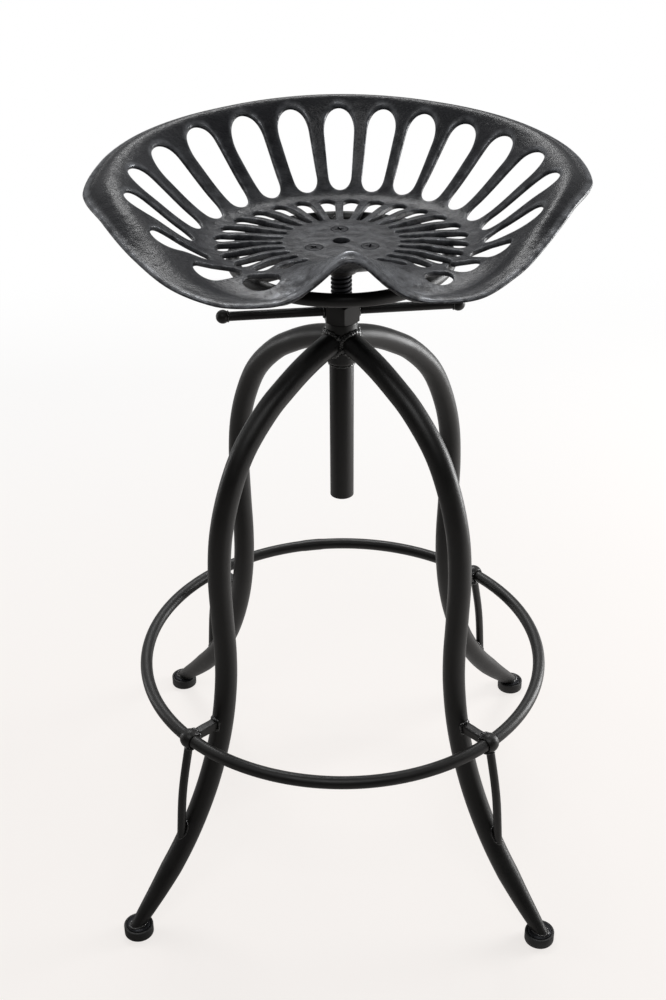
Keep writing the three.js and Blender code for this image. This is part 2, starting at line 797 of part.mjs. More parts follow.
function ringBar(angle) {
  const bar = new THREE.BoxGeometry(footRingStandOff, ringBarWidth, ringBarWidth);
  bar.translate(footRingRadius - footRingStandOff / 2, 0, footRingHeight);
  bar.rotateZ(turnOf(angle));
  return shapeOf(cut(solidOf(bar), [legSolid(angle, contactGap), ringBallSphere(angle, contactGap)]));
}

function ringBrace(angle) {
  const footLevel = braceFootShare * footRingHeight;
  const foot = polar(legOutAt(footLevel) + braceFootOffset, angle, footLevel);
  const top = polar(footRingRadius, angle, footRingHeight);
  const middle = foot.clone().add(top).multiplyScalar(0.5).add(polar(braceBow, angle, 0));
  const path = new THREE.CatmullRomCurve3([top, middle, foot]);
  const brace = solidOf(tubeAlong(path, braceRadius, braceSteps));
  return shapeOf(cut(brace, [legSolid(angle, contactGap), ringBallSphere(angle, contactGap)]));
}

// Washer and screw that stop the spindle at its upper end of travel
function stopWasher() {
  const high = spindleLowerEnd - contactGap;
  const low = high - stopWasherThickness;
  const outer = sleeveBore - threadClearance;
  const bore = stopScrewShankRadius + contactGap;
  return turned([[bore, low], [outer, low], [outer, high], [bore, high], [bore, low]]);
}

function stopScrew() {
  const headTop = spindleLowerEnd - contactGap - stopWasherThickness - contactGap;
  const corner = stopScrewHeadFlats / 2 / Math.cos(turnOf(fullTurn / 12));
  const head = solidOf(column(0, 0, headTop - stopScrewHeadHeight, headTop, corner, 6));
  const end = spindleLowerEnd - contactGap + stopScrewGrip;
  const shank = solidOf(column(0, 0, headTop - stopScrewHeadHeight / 2, end, stopScrewShankRadius));
  return shapeOf(head.add(shank));
}

// Materials
const castIron = { color: 0x1b1c1f, roughness: 0.45, metalness: 0.3 };
const blackPaint = { color: 0x161719, roughness: 0.35, metalness: 0.2 };
const steel = { color: 0x2c2d30, roughness: 0.4, metalness: 0.8 };
const rubber = { color: 0x101113, roughness: 0.85, metalness: 0 };

const stool = new THREE.Group();

function place(name, geometry, look) {
  const mesh = new THREE.Mesh(geometry, new THREE.MeshStandardMaterial(look));
  mesh.name = name;
  stool.add(mesh);
}

function placeEach(name, angles, build, look) {
  angles.forEach((angle, i) => place(`${name}_${i + 1}`, build(angle), look));
}

place('seat_casting', seatCasting(), castIron);
place('seat_plate', seatPlate(), blackPaint);
place('seat_collar', seatCollar(), blackPaint);
place('spindle', spindle(), steel);
place('support_ring', supportRing(), blackPaint);
placeEach('support_arm', screwAngles(), supportArm, blackPaint);
placeEach('seat_screw', screwAngles(), seatScrew, blackPaint);
place('lock_nut', lockNut(), blackPaint);
placeEach('lock_arm', [lockArmTurn, lockArmTurn + halfTurn], lockArm, blackPaint);
placeEach('lock_ball', [lockArmTurn, lockArmTurn + halfTurn], lockBall, blackPaint);
place('hub', hub(), blackPaint);
place('sleeve_tube', sleeveTube(), blackPaint);
placeEach('leg', legAngles(), leg, blackPaint);
placeEach('foot_disc', legAngles(), footDisc, steel);
placeEach('rubber_foot', legAngles(), rubberFoot, rubber);
place('foot_ring', footRing(), blackPaint);
placeEach('ring_ball', legAngles(), ringBall, blackPaint);
placeEach('ring_bar', legAngles(), ringBar, blackPaint);
placeEach('ring_brace', legAngles(), ringBrace, blackPaint);
place('stop_washer', stopWasher(), steel);
place('stop_screw', stopScrew(), steel);

export default stool;
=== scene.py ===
import math

import bpy
import numpy as np
from mathutils import Matrix, Vector, noise


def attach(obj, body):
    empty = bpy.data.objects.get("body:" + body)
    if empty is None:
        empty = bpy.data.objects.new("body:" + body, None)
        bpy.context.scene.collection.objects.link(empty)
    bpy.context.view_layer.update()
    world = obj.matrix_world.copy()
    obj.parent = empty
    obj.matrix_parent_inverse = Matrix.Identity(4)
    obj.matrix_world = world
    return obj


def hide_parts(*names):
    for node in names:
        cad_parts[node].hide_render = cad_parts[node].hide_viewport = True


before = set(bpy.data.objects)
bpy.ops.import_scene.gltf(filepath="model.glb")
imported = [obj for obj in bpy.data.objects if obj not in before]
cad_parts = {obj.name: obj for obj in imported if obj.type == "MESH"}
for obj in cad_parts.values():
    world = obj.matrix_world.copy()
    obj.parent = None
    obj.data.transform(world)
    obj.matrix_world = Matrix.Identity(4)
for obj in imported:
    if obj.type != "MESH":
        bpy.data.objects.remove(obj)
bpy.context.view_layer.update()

MM = 0.001

# Camera: in front of the stool and a little to its left, looking down on it.
# The lens is a short telephoto, so the near legs aren't stretched.
CAMERA_PLACE = Vector((-63.8, -1218.1, 1124.2)) * MM
CAMERA_YAW = math.radians(2.59)
CAMERA_PITCH = math.radians(31.37)
CAMERA_ROLL = math.radians(-0.38)
CAMERA_LENS = 53.44

ahead = Vector((
    math.sin(CAMERA_YAW) * math.cos(CAMERA_PITCH),
    math.cos(CAMERA_YAW) * math.cos(CAMERA_PITCH),
    -math.sin(CAMERA_PITCH),
))
level = Vector((math.cos(CAMERA_YAW), -math.sin(CAMERA_YAW), 0))
raised = level.cross(ahead)
turned_level = math.cos(CAMERA_ROLL) * level + math.sin(CAMERA_ROLL) * raised
turned_raised = -math.sin(CAMERA_ROLL) * level + math.cos(CAMERA_ROLL) * raised

camera = bpy.data.objects.new("camera", bpy.data.cameras.new("camera"))
bpy.context.scene.collection.objects.link(camera)
camera.matrix_world = Matrix.Translation(CAMERA_PLACE) @ Matrix(
    (turned_level, turned_raised, -ahead)
).transposed().to_4x4()
camera.data.sensor_width = 36
camera.data.lens = CAMERA_LENS
camera.data.clip_end = 60
bpy.context.scene.camera = camera
bpy.context.scene.view_settings.view_transform = "Standard"


# Studio: a wide pale floor that runs out of sight, a bright wall behind and soft lamps.
# The floor is warm white in front and pure white behind, and keeps a faint shadow.
def linear(hex_colour):
    """The linear colour, with alpha, of an sRGB hex value such as "8a8c8f"."""
    shares = [int(hex_colour[i:i + 2], 16) / 255 for i in (0, 2, 4)]
    return [s / 12.92 if s <= 0.04045 else ((s + 0.055) / 1.055) ** 2.4 for s in shares] + [1]


def add_node(tree, kind, sockets=None, **settings):
    """A shader node with its settings. A socket takes a value, another socket or a node's first output."""
    new = tree.nodes.new("ShaderNode" + kind)
    for name, value in settings.items():
        setattr(new, name, value)
    for name, value in (sockets or {}).items():
        if isinstance(value, bpy.types.Node):
            value = next(socket for socket in value.outputs if socket.enabled)
        if isinstance(value, bpy.types.NodeSocket):
            tree.links.new(value, new.inputs[name])
        else:
            new.inputs[name].default_value = value
    return new


def new_material(name):
    """A node material, its emptied tree and the Object coordinates that its patterns follow."""
    material = bpy.data.materials.new(name)
    material.use_nodes = True
    tree = material.node_tree
    tree.nodes.clear()
    return material, tree, add_node(tree, "TexCoord").outputs["Object"]


def start(name, add, **sizes):
    """A new piece that begins as a primitive, alone in the selection, its place in its mesh."""
    bpy.ops.object.select_all(action="DESELECT")
    add(**sizes)
    bpy.ops.object.transform_apply(location=True, rotation=True, scale=True)
    piece = bpy.context.object
    piece.name = piece.data.name = name
    return piece


FLOOR_SIZE = 48
FLOOR_FRONT = "fbf7f4"
FLOOR_BACK = "ffffff"
FLOOR_THROWN = "a8a6a4"
FLOOR_GLOW = 0.76
FLOOR_BRIGHT_WAY = (0.8, 0.6, 0)
FLOOR_BRIGHT_FADE = (-0.3, 0.6)
FLOOR_BRIGHT_SHARE = 0.95
FLOOR_FADE = (0, 1.5)
FLOOR_EDGE_FADE = (1.2, 5)

floor = start("floor", bpy.ops.mesh.primitive_grid_add, x_subdivisions=8, y_subdivisions=8, size=FLOOR_SIZE)
floor_paper, tree, place = new_material("floor_paper")
axes = add_node(tree, "SeparateXYZ", {"Vector": place})
depth = add_node(tree, "MapRange", {
    "Value": axes.outputs["Y"], "From Min": FLOOR_FADE[0], "From Max": FLOOR_FADE[1]},
    interpolation_type="SMOOTHSTEP")
away = add_node(tree, "VectorMath", {0: place}, operation="LENGTH")
edge = add_node(tree, "MapRange", {
    "Value": away, "From Min": FLOOR_EDGE_FADE[0], "From Max": FLOOR_EDGE_FADE[1]})
depth = add_node(tree, "Math", {0: depth, 1: edge}, operation="MAXIMUM")
tint = add_node(tree, "Mix", {
    "Factor": depth, "A": linear(FLOOR_FRONT), "B": linear(FLOOR_BACK)}, data_type="RGBA")
rays = add_node(tree, "LightPath")
camera_ray = rays.outputs["Is Camera Ray"]
seen = add_node(tree, "Mix", {"Factor": camera_ray, "A": linear(FLOOR_THROWN), "B": tint}, data_type="RGBA")
paper = add_node(tree, "BsdfDiffuse", {"Color": seen})
glow = add_node(tree, "Emission", {"Color": tint, "Strength": 1})
near = add_node(tree, "Math", {0: camera_ray, 1: FLOOR_GLOW}, operation="MULTIPLY")
far = add_node(tree, "Math", {0: camera_ray, 1: depth}, operation="MULTIPLY")
share = add_node(tree, "Math", {0: near, 1: far}, operation="MAXIMUM")
to_right = add_node(tree, "VectorMath", {0: place, 1: FLOOR_BRIGHT_WAY}, operation="DOT_PRODUCT")
bright = add_node(tree, "MapRange", {
    "Value": to_right, "From Min": FLOOR_BRIGHT_FADE[0], "From Max": FLOOR_BRIGHT_FADE[1],
    "To Min": 0, "To Max": FLOOR_BRIGHT_SHARE})
mirrored = add_node(tree, "Math", {0: rays.outputs["Is Glossy Ray"], 1: bright}, operation="MULTIPLY")
share = add_node(tree, "Math", {0: share, 1: mirrored}, operation="MAXIMUM")
mixed = add_node(tree, "MixShader", {0: share, 1: paper, 2: glow})
add_node(tree, "OutputMaterial", {"Surface": mixed})
floor.data.materials.append(floor_paper)

WORLD_FRONT = 0.14
WORLD_BACK = 0.72
WORLD_LOW = 0.18
WORLD_BACK_FADE = (-0.6, 0.7)
WORLD_LOW_FADE = (0.1, 0.55)
world = bpy.data.worlds.new("studio")
world.use_nodes = True
bpy.context.scene.world = world
tree = world.node_tree
tree.nodes.clear()
rays = add_node(tree, "LightPath")
way = add_node(tree, "TexCoord")
axes = add_node(tree, "SeparateXYZ", {"Vector": way.outputs["Generated"]})
strength = add_node(tree, "MapRange", {
    "Value": axes.outputs["Y"], "From Min": WORLD_BACK_FADE[0], "From Max": WORLD_BACK_FADE[1],
    "To Min": WORLD_FRONT, "To Max": WORLD_BACK}, interpolation_type="SMOOTHSTEP")
upwards = add_node(tree, "MapRange", {
    "Value": axes.outputs["Z"], "From Min": WORLD_LOW_FADE[0], "From Max": WORLD_LOW_FADE[1],
    "To Min": WORLD_LOW, "To Max": 1})
strength = add_node(tree, "Math", {0: strength, 1: upwards}, operation="MULTIPLY")
around = add_node(tree, "Background", {"Color": linear("ffffff"), "Strength": strength})
behind = add_node(tree, "Background", {"Color": linear("ffffff"), "Strength": 1})
mixed = add_node(tree, "MixShader", {0: rays.outputs["Is Camera Ray"], 1: around, 2: behind})
add_node(tree, "OutputWorld", {"Surface": mixed})

# Lamps: name, place, point lit, width, height and power
LAMPS = (
    ("back_softbox", (0, 1.5, 2.45), (0, 0, 0.65), 1.5, 0.4, 9),
    ("top_softbox", (-0.1, 1.4, 2.25), (0, 0, 0.65), 0.8, 0.45, 10),
    ("front_softbox", (-0.3, -1.5, 2.6), (0, 0, 0.5), 1.6, 0.7, 14),
    ("right_softbox", (1.7, 0.55, 0.5), (0, 0, 0.4), 0.7, 0.9, 26),
    ("left_softbox", (-1.9, 0.9, 0.5), (0, 0, 0.4), 0.4, 0.9, 5),
)
for name, spot, aim, width, height, power in LAMPS:
    lamp = bpy.data.objects.new(name, bpy.data.lights.new(name, "AREA"))
    bpy.context.scene.collection.objects.link(lamp)
    lamp.data.shape = "RECTANGLE"
    lamp.data.size = width
    lamp.data.size_y = height
    lamp.data.energy = power
    lamp.location = spot
    lamp.rotation_euler = (Vector(aim) - Vector(spot)).to_track_quat("-Z", "Y").to_euler()


# Rubber feet: four round pads moulded in black rubber, each with a recess for a steel disc.
# They are pushed over the legs' discs and carry the stool on the floor.
FRAME_TURN = -4.4
LEG_TURNS = [FRAME_TURN + 45 + 90 * i for i in range(4)]
LEG_REACH = 277.7
FOOT_RADIUS = 14.3
FOOT_HEIGHT = 10.5
FOOT_BASE = 5.5
FOOT_RECESS_RADIUS = 11.6
FOOT_ROUNDING = 0.8
FOOT_TREAD_EDGE = 4
FOOT_TREAD_RING = 2
FOOT_TREAD_GROOVE = 1.2


def polar(radius, turn, height=0):
    """A point in mm at a radius and a turn from +X."""
    return Vector((radius * math.cos(math.radians(turn)), radius * math.sin(math.radians(turn)), height))


def pick_faces(piece, wanted):
    """Opens a piece for editing with only those faces picked whose middle, in mm, and normal are wanted."""
    bpy.context.view_layer.objects.active = piece
    bpy.ops.object.mode_set(mode="EDIT")
    bpy.ops.mesh.select_mode(type="FACE")
    bpy.ops.mesh.select_all(action="DESELECT")
    bpy.ops.object.mode_set(mode="OBJECT")
    for face in piece.data.polygons:
        face.select = bool(wanted(face.center / MM, face.normal))
    bpy.ops.object.mode_set(mode="EDIT")


def close(piece, smooth=35):
    """Ends the editing: joins doubled points, turns the faces outwards and smooths all but sharp edges."""
    bpy.context.view_layer.objects.active = piece
    bpy.ops.object.mode_set(mode="EDIT")
    bpy.ops.mesh.select_all(action="SELECT")
    bpy.ops.mesh.remove_doubles(threshold=1e-6)
    bpy.ops.mesh.normals_make_consistent(inside=False)
    bpy.ops.object.mode_set(mode="OBJECT")
    bpy.ops.object.select_all(action="DESELECT")
    piece.select_set(True)
    bpy.ops.object.shade_smooth_by_angle(angle=math.radians(smooth))


def modify(piece, kind, **settings):
    """Puts a modifier on a piece and applies it."""
    modifier = piece.modifiers.new(kind.lower(), kind)
    for name, value in settings.items():
        setattr(modifier, name, value)
    bpy.context.view_layer.objects.active = piece
    bpy.ops.object.modifier_apply(modifier=modifier.name)


def round_edges(piece, width, sharpest=40):
    """Rounds every edge sharper than an angle."""
    modify(piece, "BEVEL", width=width * MM, segments=3, limit_method="ANGLE",
           angle_limit=math.radians(sharpest), use_clamp_overlap=True)


def copy_round(piece, turns):
    """The piece and its copies, each with its own mesh, at turns round the stool's axis from it."""
    pieces = [piece]
    for i, turn in enumerate(turns, 2):
        copy = piece.copy()
        copy.data = piece.data.copy()
        copy.name = copy.data.name = piece.name[:-1] + str(i)
        copy.data.transform(Matrix.Rotation(math.radians(turn), 4, "Z"))
        bpy.context.scene.collection.objects.link(copy)
        pieces.append(copy)
    return pieces


QUARTER_TURNS = (90, 180, 270)
foot_place = polar(LEG_REACH, LEG_TURNS[0])
pad = start("foot_pad_1", bpy.ops.mesh.primitive_cylinder_add, vertices=64, radius=FOOT_RADIUS * MM,
            depth=FOOT_HEIGHT * MM, location=(foot_place + Vector((0, 0, FOOT_HEIGHT / 2))) * MM)
pick_faces(pad, lambda middle, normal: normal.z > 0.9)
bpy.ops.mesh.inset(thickness=(FOOT_RADIUS - FOOT_RECESS_RADIUS) * MM)
bpy.ops.mesh.extrude_region_move(TRANSFORM_OT_translate={"value": (0, 0, (FOOT_BASE - FOOT_HEIGHT) * MM)})
pick_faces(pad, lambda middle, normal: normal.z < -0.9)
bpy.ops.mesh.inset(thickness=FOOT_TREAD_EDGE * MM)
bpy.ops.mesh.inset(thickness=FOOT_TREAD_RING * MM)
bpy.ops.mesh.inset(thickness=FOOT_TREAD_GROOVE * MM, depth=-FOOT_TREAD_GROOVE * MM)
bpy.ops.object.mode_set(mode="OBJECT")
round_edges(pad, FOOT_ROUNDING)
close(pad)


def scale_of(width):
    """The scale of a pattern whose lumps are that wide in mm."""
    return 1 / (width * MM)


# Moulded rubber: dull black with a fine grain, greyer where dust rubs in near the floor
black_rubber, tree, place = new_material("moulded_black_rubber")
RUBBER_GRAIN = 0.5
RUBBER_SMEAR = 6.25
DUST_HEIGHT = 6
NOISE_SPAN = {"From Min": 0.3, "From Max": 0.7}
grain = add_node(tree, "TexNoise", {"Vector": place, "Scale": scale_of(RUBBER_GRAIN), "Detail": 2})
smears = add_node(tree, "TexNoise", {"Vector": place, "Scale": scale_of(RUBBER_SMEAR), "Detail": 4})
axes = add_node(tree, "SeparateXYZ", {"Vector": place})
low = add_node(tree, "MapRange", {
    "Value": axes.outputs["Z"], "From Min": 0, "From Max": DUST_HEIGHT * MM, "To Min": 0.7, "To Max": 0.1})
dust = add_node(tree, "Math", {0: low, 1: smears}, operation="MULTIPLY")
tint = add_node(tree, "Mix", {
    "Factor": dust, "A": linear("0e0e0e"), "B": linear("3a3936")}, data_type="RGBA")
rough = add_node(tree, "MapRange", {"Value": smears, **NOISE_SPAN, "To Min": 0.5, "To Max": 0.68})
pits = add_node(tree, "Bump", {"Height": grain, "Strength": 0.4, "Distance": 0.2 * MM})
shader = add_node(tree, "BsdfPrincipled", {"Base Color": tint, "Roughness": rough, "Normal": pits})
add_node(tree, "OutputMaterial", {"Surface": shader})
pad.data.materials.append(black_rubber)
for i, piece in enumerate(copy_round(pad, QUARTER_TURNS), 1):
    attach(piece, "underframe")
    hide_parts(f"rubber_foot_{i}")

# Foot discs: punched steel discs welded to the legs' lower ends, blackened.
# Each lies in its rubber pad's recess, so the tube can't cut through the rubber.
DISC_RADIUS = 11.3
DISC_LEVELS = (5.8, 10.8)
DISC_RIM = 2
DISC_CROWN = 0.5
disc = start("foot_plate_1", bpy.ops.mesh.primitive_cylinder_add, vertices=64, radius=DISC_RADIUS * MM,
             depth=(DISC_LEVELS[1] - DISC_LEVELS[0]) * MM,
             location=(foot_place + Vector((0, 0, sum(DISC_LEVELS) / 2))) * MM)
pick_faces(disc, lambda middle, normal: normal.z > 0.9)
bpy.ops.mesh.inset(thickness=DISC_RIM * MM, depth=DISC_CROWN * MM)
bpy.ops.object.mode_set(mode="OBJECT")
round_edges(disc, 0.3, 20)
close(disc)

# Blackened steel: a thin dark oxide over turned or punched steel, with a grey shine where it is rubbed
blackened_steel, tree, place = new_material("blackened_steel")
OXIDE_CLOUD = 5.55556
STEEL_SCRATCH = 0.714286
oxide = add_node(tree, "TexNoise", {
    "Vector": place, "Scale": scale_of(OXIDE_CLOUD), "Detail": 5, "Roughness": 0.6})
scratch = add_node(tree, "TexNoise", {"Vector": place, "Scale": scale_of(STEEL_SCRATCH), "Detail": 2})
tint = add_node(tree, "Mix", {
    "Factor": oxide, "A": linear("1a1a1d"), "B": linear("333437")}, data_type="RGBA")
rough = add_node(tree, "MapRange", {"Value": oxide, **NOISE_SPAN, "To Min": 0.3, "To Max": 0.48})
marks = add_node(tree, "Bump", {"Height": scratch, "Strength": 0.2, "Distance": 0.2 * MM})
shader = add_node(tree, "BsdfPrincipled", {
    "Base Color": tint, "Metallic": 0.85, "Roughness": rough, "Normal": marks})
add_node(tree, "OutputMaterial", {"Surface": shader})
disc.data.materials.append(blackened_steel)
for i, piece in enumerate(copy_round(disc, QUARTER_TURNS), 1):
    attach(piece, "underframe")
    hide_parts(f"foot_disc_{i}")

# Legs: four round steel tubes, bent cold into a long double curve and drawn in towards the foot.
# Each is notched to the hub's round and cut level where it stands on its disc.
LEG_RADIUS = 10.6
LEG_TOP = 553
LEG_TIP_LENGTH = 62
LEG_TIP_RADIUS = 6.5
LEG_TIP_SWELL = 0.8
# The tube's middle line from the hub to the foot, in shares of the reach and of the top's height
LEG_LINE = (
    (0.0300, 0.9982), (0.1051, 0.9859), (0.1736, 0.9709), (0.2459, 0.9505), (0.3219, 0.9251),
    (0.4303, 0.8693), (0.4977, 0.8049), (0.5394, 0.7349), (0.5546, 0.6600), (0.5517, 0.5779),
    (0.5459, 0.5000), (0.5506, 0.4398), (0.5744, 0.3613), (0.6165, 0.2888), (0.6795, 0.2166),
    (0.7695, 0.1441), (0.8808, 0.0794), (1.0000, 0.0199),
)
HUB_CORE = 12
# A boring tool reaches from one of these levels to the other, past both ends of what it bores
CUT_THROUGH = (500, 700)


def smooth_line(points, steps):
    """Points along a smooth curve through the given ones."""
    points = [2 * points[0] - points[1], *points, 2 * points[-1] - points[-2]]
    line = []
    for a, b, c, d in zip(points, points[1:], points[2:], points[3:]):
        ab, bc, cd = (math.sqrt((q - p).length) for p, q in ((a, b), (b, c), (c, d)))
        leave = ((b - a) / ab - (c - a) / (ab + bc) + (c - b) / bc) * bc
        arrive = ((c - b) / bc - (d - b) / (bc + cd) + (d - c) / cd) * bc
        for t in (k / steps for k in range(steps)):
            back = 1 - t
            line.append(b * (back * back * (1 + 2 * t)) + c * (t * t * (3 - 2 * t))
                        + leave * (t * back * back) - arrive * (t * t * back))
    return line + [points[-2]]


def swept(name, line, radius, shares=None, closed=False, detail=8):
    """A round bar along a line of points in mm, with a share of its radius at each point."""
    bpy.ops.object.select_all(action="DESELECT")
    curve = bpy.data.curves.new(name, "CURVE")
    curve.dimensions = "3D"
    curve.bevel_depth = radius * MM
    curve.bevel_resolution = detail
    curve.use_fill_caps = not closed
    spline = curve.splines.new("POLY")
    spline.points.add(len(line) - 1)
    spline.use_cyclic_u = closed
    for i, point in enumerate(line):
        spline.points[i].co = (*(point * MM), 1)
        spline.points[i].radius = shares[i] if shares else 1
    piece = bpy.data.objects.new(name, curve)
    bpy.context.scene.collection.objects.link(piece)
    piece.select_set(True)
    bpy.context.view_layer.objects.active = piece
    bpy.ops.object.convert(target="MESH")
    close(bpy.context.object, 60)
    return bpy.context.object


def carve(piece, tool, operation="DIFFERENCE"):
    """Cuts a piece with another shape, which is then thrown away."""
    modify(piece, "BOOLEAN", operation=operation, solver="EXACT", object=tool)
    bpy.data.objects.remove(tool)


def upright_rod(name, radius, low, high, corners=64):
    """A round rod on the stool's axis between two levels in mm."""
    return start(name, bpy.ops.mesh.primitive_cylinder_add, vertices=corners, radius=radius * MM,
                 depth=(high - low) * MM, location=(0, 0, (low + high) / 2 * MM))


leg_line = smooth_line([polar(out * LEG_REACH, LEG_TURNS[0], up * LEG_TOP) for out, up in LEG_LINE], 6)
leg_line.append(leg_line[-1] + (leg_line[-1] - leg_line[-2]).normalized() * FOOT_HEIGHT)
run = [0]
for a, b in zip(leg_line[-1:0:-1], leg_line[-2::-1]):
    run.append(run[-1] + (b - a).length)
shares = []
for distance in reversed(run):
    drawn = min(1, max(0, (distance - FOOT_HEIGHT) / LEG_TIP_LENGTH))
    shares.append((LEG_TIP_RADIUS + (LEG_RADIUS - LEG_TIP_RADIUS) * drawn ** LEG_TIP_SWELL) / LEG_RADIUS)
leg = swept("leg_tube_1", leg_line, LEG_RADIUS, shares, detail=14)
pick_faces(leg, lambda middle, normal: True)
bpy.ops.mesh.bisect(plane_co=(0, 0, DISC_LEVELS[1] * MM), plane_no=(0, 0, 1),
                    use_fill=True, clear_inner=True)
bpy.ops.object.mode_set(mode="OBJECT")
carve(leg, upright_rod("hub_core", HUB_CORE, *CUT_THROUGH))
close(leg, 50)

# Powder coat on steel: satin black with a faint orange-peel skin, so the middle of a tube stays
# dark and only its edges catch the bright studio
powder_coat, tree, place = new_material("satin_black_powder_coat")
COAT_CLOUD = 16.6667
COAT_PEEL = 1.6
COAT_SPECK = 0.454545
clouds = add_node(tree, "TexNoise", {"Vector": place, "Scale": scale_of(COAT_CLOUD), "Detail": 4})
peel = add_node(tree, "TexNoise", {"Vector": place, "Scale": scale_of(COAT_PEEL), "Detail": 2})
dust = add_node(tree, "TexNoise", {"Vector": place, "Scale": scale_of(COAT_SPECK), "Detail": 1})
tint = add_node(tree, "Mix", {
    "Factor": clouds, "A": linear("080706"), "B": linear("13110f")}, data_type="RGBA")
rough = add_node(tree, "MapRange", {"Value": clouds, **NOISE_SPAN, "To Min": 0.38, "To Max": 0.48})
skin = add_node(tree, "Bump", {"Height": peel, "Strength": 0.1, "Distance": 0.4 * MM})
specks = add_node(tree, "Bump", {"Height": dust, "Strength": 0.06, "Distance": 0.1 * MM, "Normal": skin})
shader = add_node(tree, "BsdfPrincipled", {
    "Base Color": tint, "Roughness": rough, "Normal": specks, "Specular IOR Level": 0.5})
add_node(tree, "OutputMaterial", {"Surface": shader})
leg.data.materials.append(powder_coat)
for i, piece in enumerate(copy_round(leg, QUARTER_TURNS), 1):
    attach(piece, "underframe")
    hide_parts(f"leg_{i}")

# Hub: a short bored steel barrel at the legs' meeting, with a cone turned on its lower end.
# The four legs are welded round it, the sleeve under it, and the spindle slides through it.
HUB_RADIUS = 14.5
HUB_LEVELS = (528.5, 570)
HUB_CONE = 3
HUB_CONE_RADIUS = 12.2
HUB_BORE = 9.8


def bore_through(piece, radius, bore):
    """Bores an upright round piece from end to end."""
    pick_faces(piece, lambda middle, normal: abs(normal.z) > 0.9)
    bpy.ops.mesh.inset(thickness=(radius - bore) * MM)
    bpy.ops.mesh.bridge_edge_loops()
    bpy.ops.object.mode_set(mode="OBJECT")


def cone_on(piece, rise, share, level):
    """Draws an upright round piece's lower or upper end out to a cone that ends at a level."""
    pick_faces(piece, lambda middle, normal: normal.z * rise > 0.9 * abs(rise))
    bpy.ops.mesh.extrude_region_move(TRANSFORM_OT_translate={"value": (0, 0, rise * MM)})
    bpy.ops.transform.resize(value=(share, share, 1), center_override=Vector((0, 0, level)) * MM)
    bpy.ops.object.mode_set(mode="OBJECT")


hub = upright_rod("hub_barrel", HUB_RADIUS, HUB_LEVELS[0] + HUB_CONE, HUB_LEVELS[1])
cone_on(hub, -HUB_CONE, HUB_CONE_RADIUS / HUB_RADIUS, HUB_LEVELS[0])
carve(hub, upright_rod("hub_bore", HUB_BORE, *CUT_THROUGH))
round_edges(hub, 1, 30)
close(hub)
hub.data.materials.append(powder_coat)
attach(hub, "underframe")
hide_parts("hub")

# Sleeve: a thin steel tube welded under the hub, open at its lower end.
# It hides the greased spindle when the seat is low.
SLEEVE_RADIUS = 11.2
SLEEVE_BORE = 10.5
SLEEVE_LEVELS = (388.2, 528.2)
sleeve = upright_rod("spindle_sleeve", SLEEVE_RADIUS, *SLEEVE_LEVELS)
bore_through(sleeve, SLEEVE_RADIUS, SLEEVE_BORE)
round_edges(sleeve, 0.2)
close(sleeve)
sleeve.data.materials.append(powder_coat)
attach(sleeve, "underframe")
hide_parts("sleeve_tube")

# Welds of the underframe: arc-welded beads of lapped drops, painted over with the tubes.
# A saddle joins each leg to the hub, an oval joins its foot to the disc, and a ring holds the sleeve.
WELD_DROP = 2.3
WELD_STEPS = 5
# Of the bead's width: its thinnest places, what each drop and the hand's wandering add, its lumps
WELD_THINNEST = 0.88
WELD_SWELL = 0.14
WELD_WANDER = 0.4
WELD_LUMPS = 0.5
WELD_WANDERS_PER_MM = 0.35
SADDLE_BEAD = 2.9
FOOT_BEAD = 1.1
SLEEVE_BEAD = 1.1
FOOT_OVAL_REACH = 9.2
weld_lumps = bpy.data.textures.new("weld_lumps", "CLOUDS")
weld_lumps.noise_scale = 2.8 * MM


def weld(name, line, width, closed=True):
    """A weld bead along a line of points: lapped drops, uneven as a hand lays them."""
    places = np.array([tuple(point) for point in (line + line[:1] if closed else line)])
    run = np.concatenate([[0], np.cumsum(np.linalg.norm(np.diff(places, axis=0), axis=1))])
    marks = np.linspace(0, run[-1], max(12, round(run[-1] * WELD_STEPS / WELD_DROP)), endpoint=not closed)
    even = [Vector([np.interp(mark, run, places[:, k]) for k in range(3)]) for mark in marks]
    shares = [WELD_THINNEST + WELD_SWELL * abs(math.sin(math.pi * i / WELD_STEPS))
              + WELD_WANDER * noise.noise(point * WELD_WANDERS_PER_MM) for i, point in enumerate(even)]
    bead = swept(name, even, width, shares, closed, detail=4)
    modify(bead, "DISPLACE", texture=weld_lumps, strength=WELD_LUMPS * width * MM, mid_level=0.5,
           texture_coords="LOCAL")
    return bead


def join(name, pieces):
    """Makes one piece of several."""
    bpy.ops.object.select_all(action="DESELECT")
    for piece in pieces:
        piece.select_set(True)
    bpy.context.view_layer.objects.active = pieces[0]
    bpy.ops.object.join()
    pieces[0].name = pieces[0].data.name = name
    return pieces[0]


def turned_from_x(out, across, height, turn):
    """A point given outwards and across from a turn, in the stool's axes."""
    return Matrix.Rotation(math.radians(turn), 3, "Z") @ Vector((out, across, height))


def loop(count, point_at):
    """The points that a function gives for even steps round a full turn."""
    return [point_at(2 * math.pi * i / count) for i in range(count)]


FULL_LOOP = 48
first, second = (Vector((out * LEG_REACH, up * LEG_TOP)) for out, up in LEG_LINE[:2])
leg_lean = (second - first).normalized()


def hub_saddle(angle):
    """Where a leg's skin meets the hub's."""
    across = LEG_RADIUS * math.cos(angle)
    lift = LEG_RADIUS * math.sin(angle)
    out = math.sqrt(HUB_RADIUS ** 2 - across ** 2)
    along = (out + lift * leg_lean.y - first.x) / leg_lean.x
    return turned_from_x(out, across, first.y + along * leg_lean.y + lift * leg_lean.x, LEG_TURNS[0])


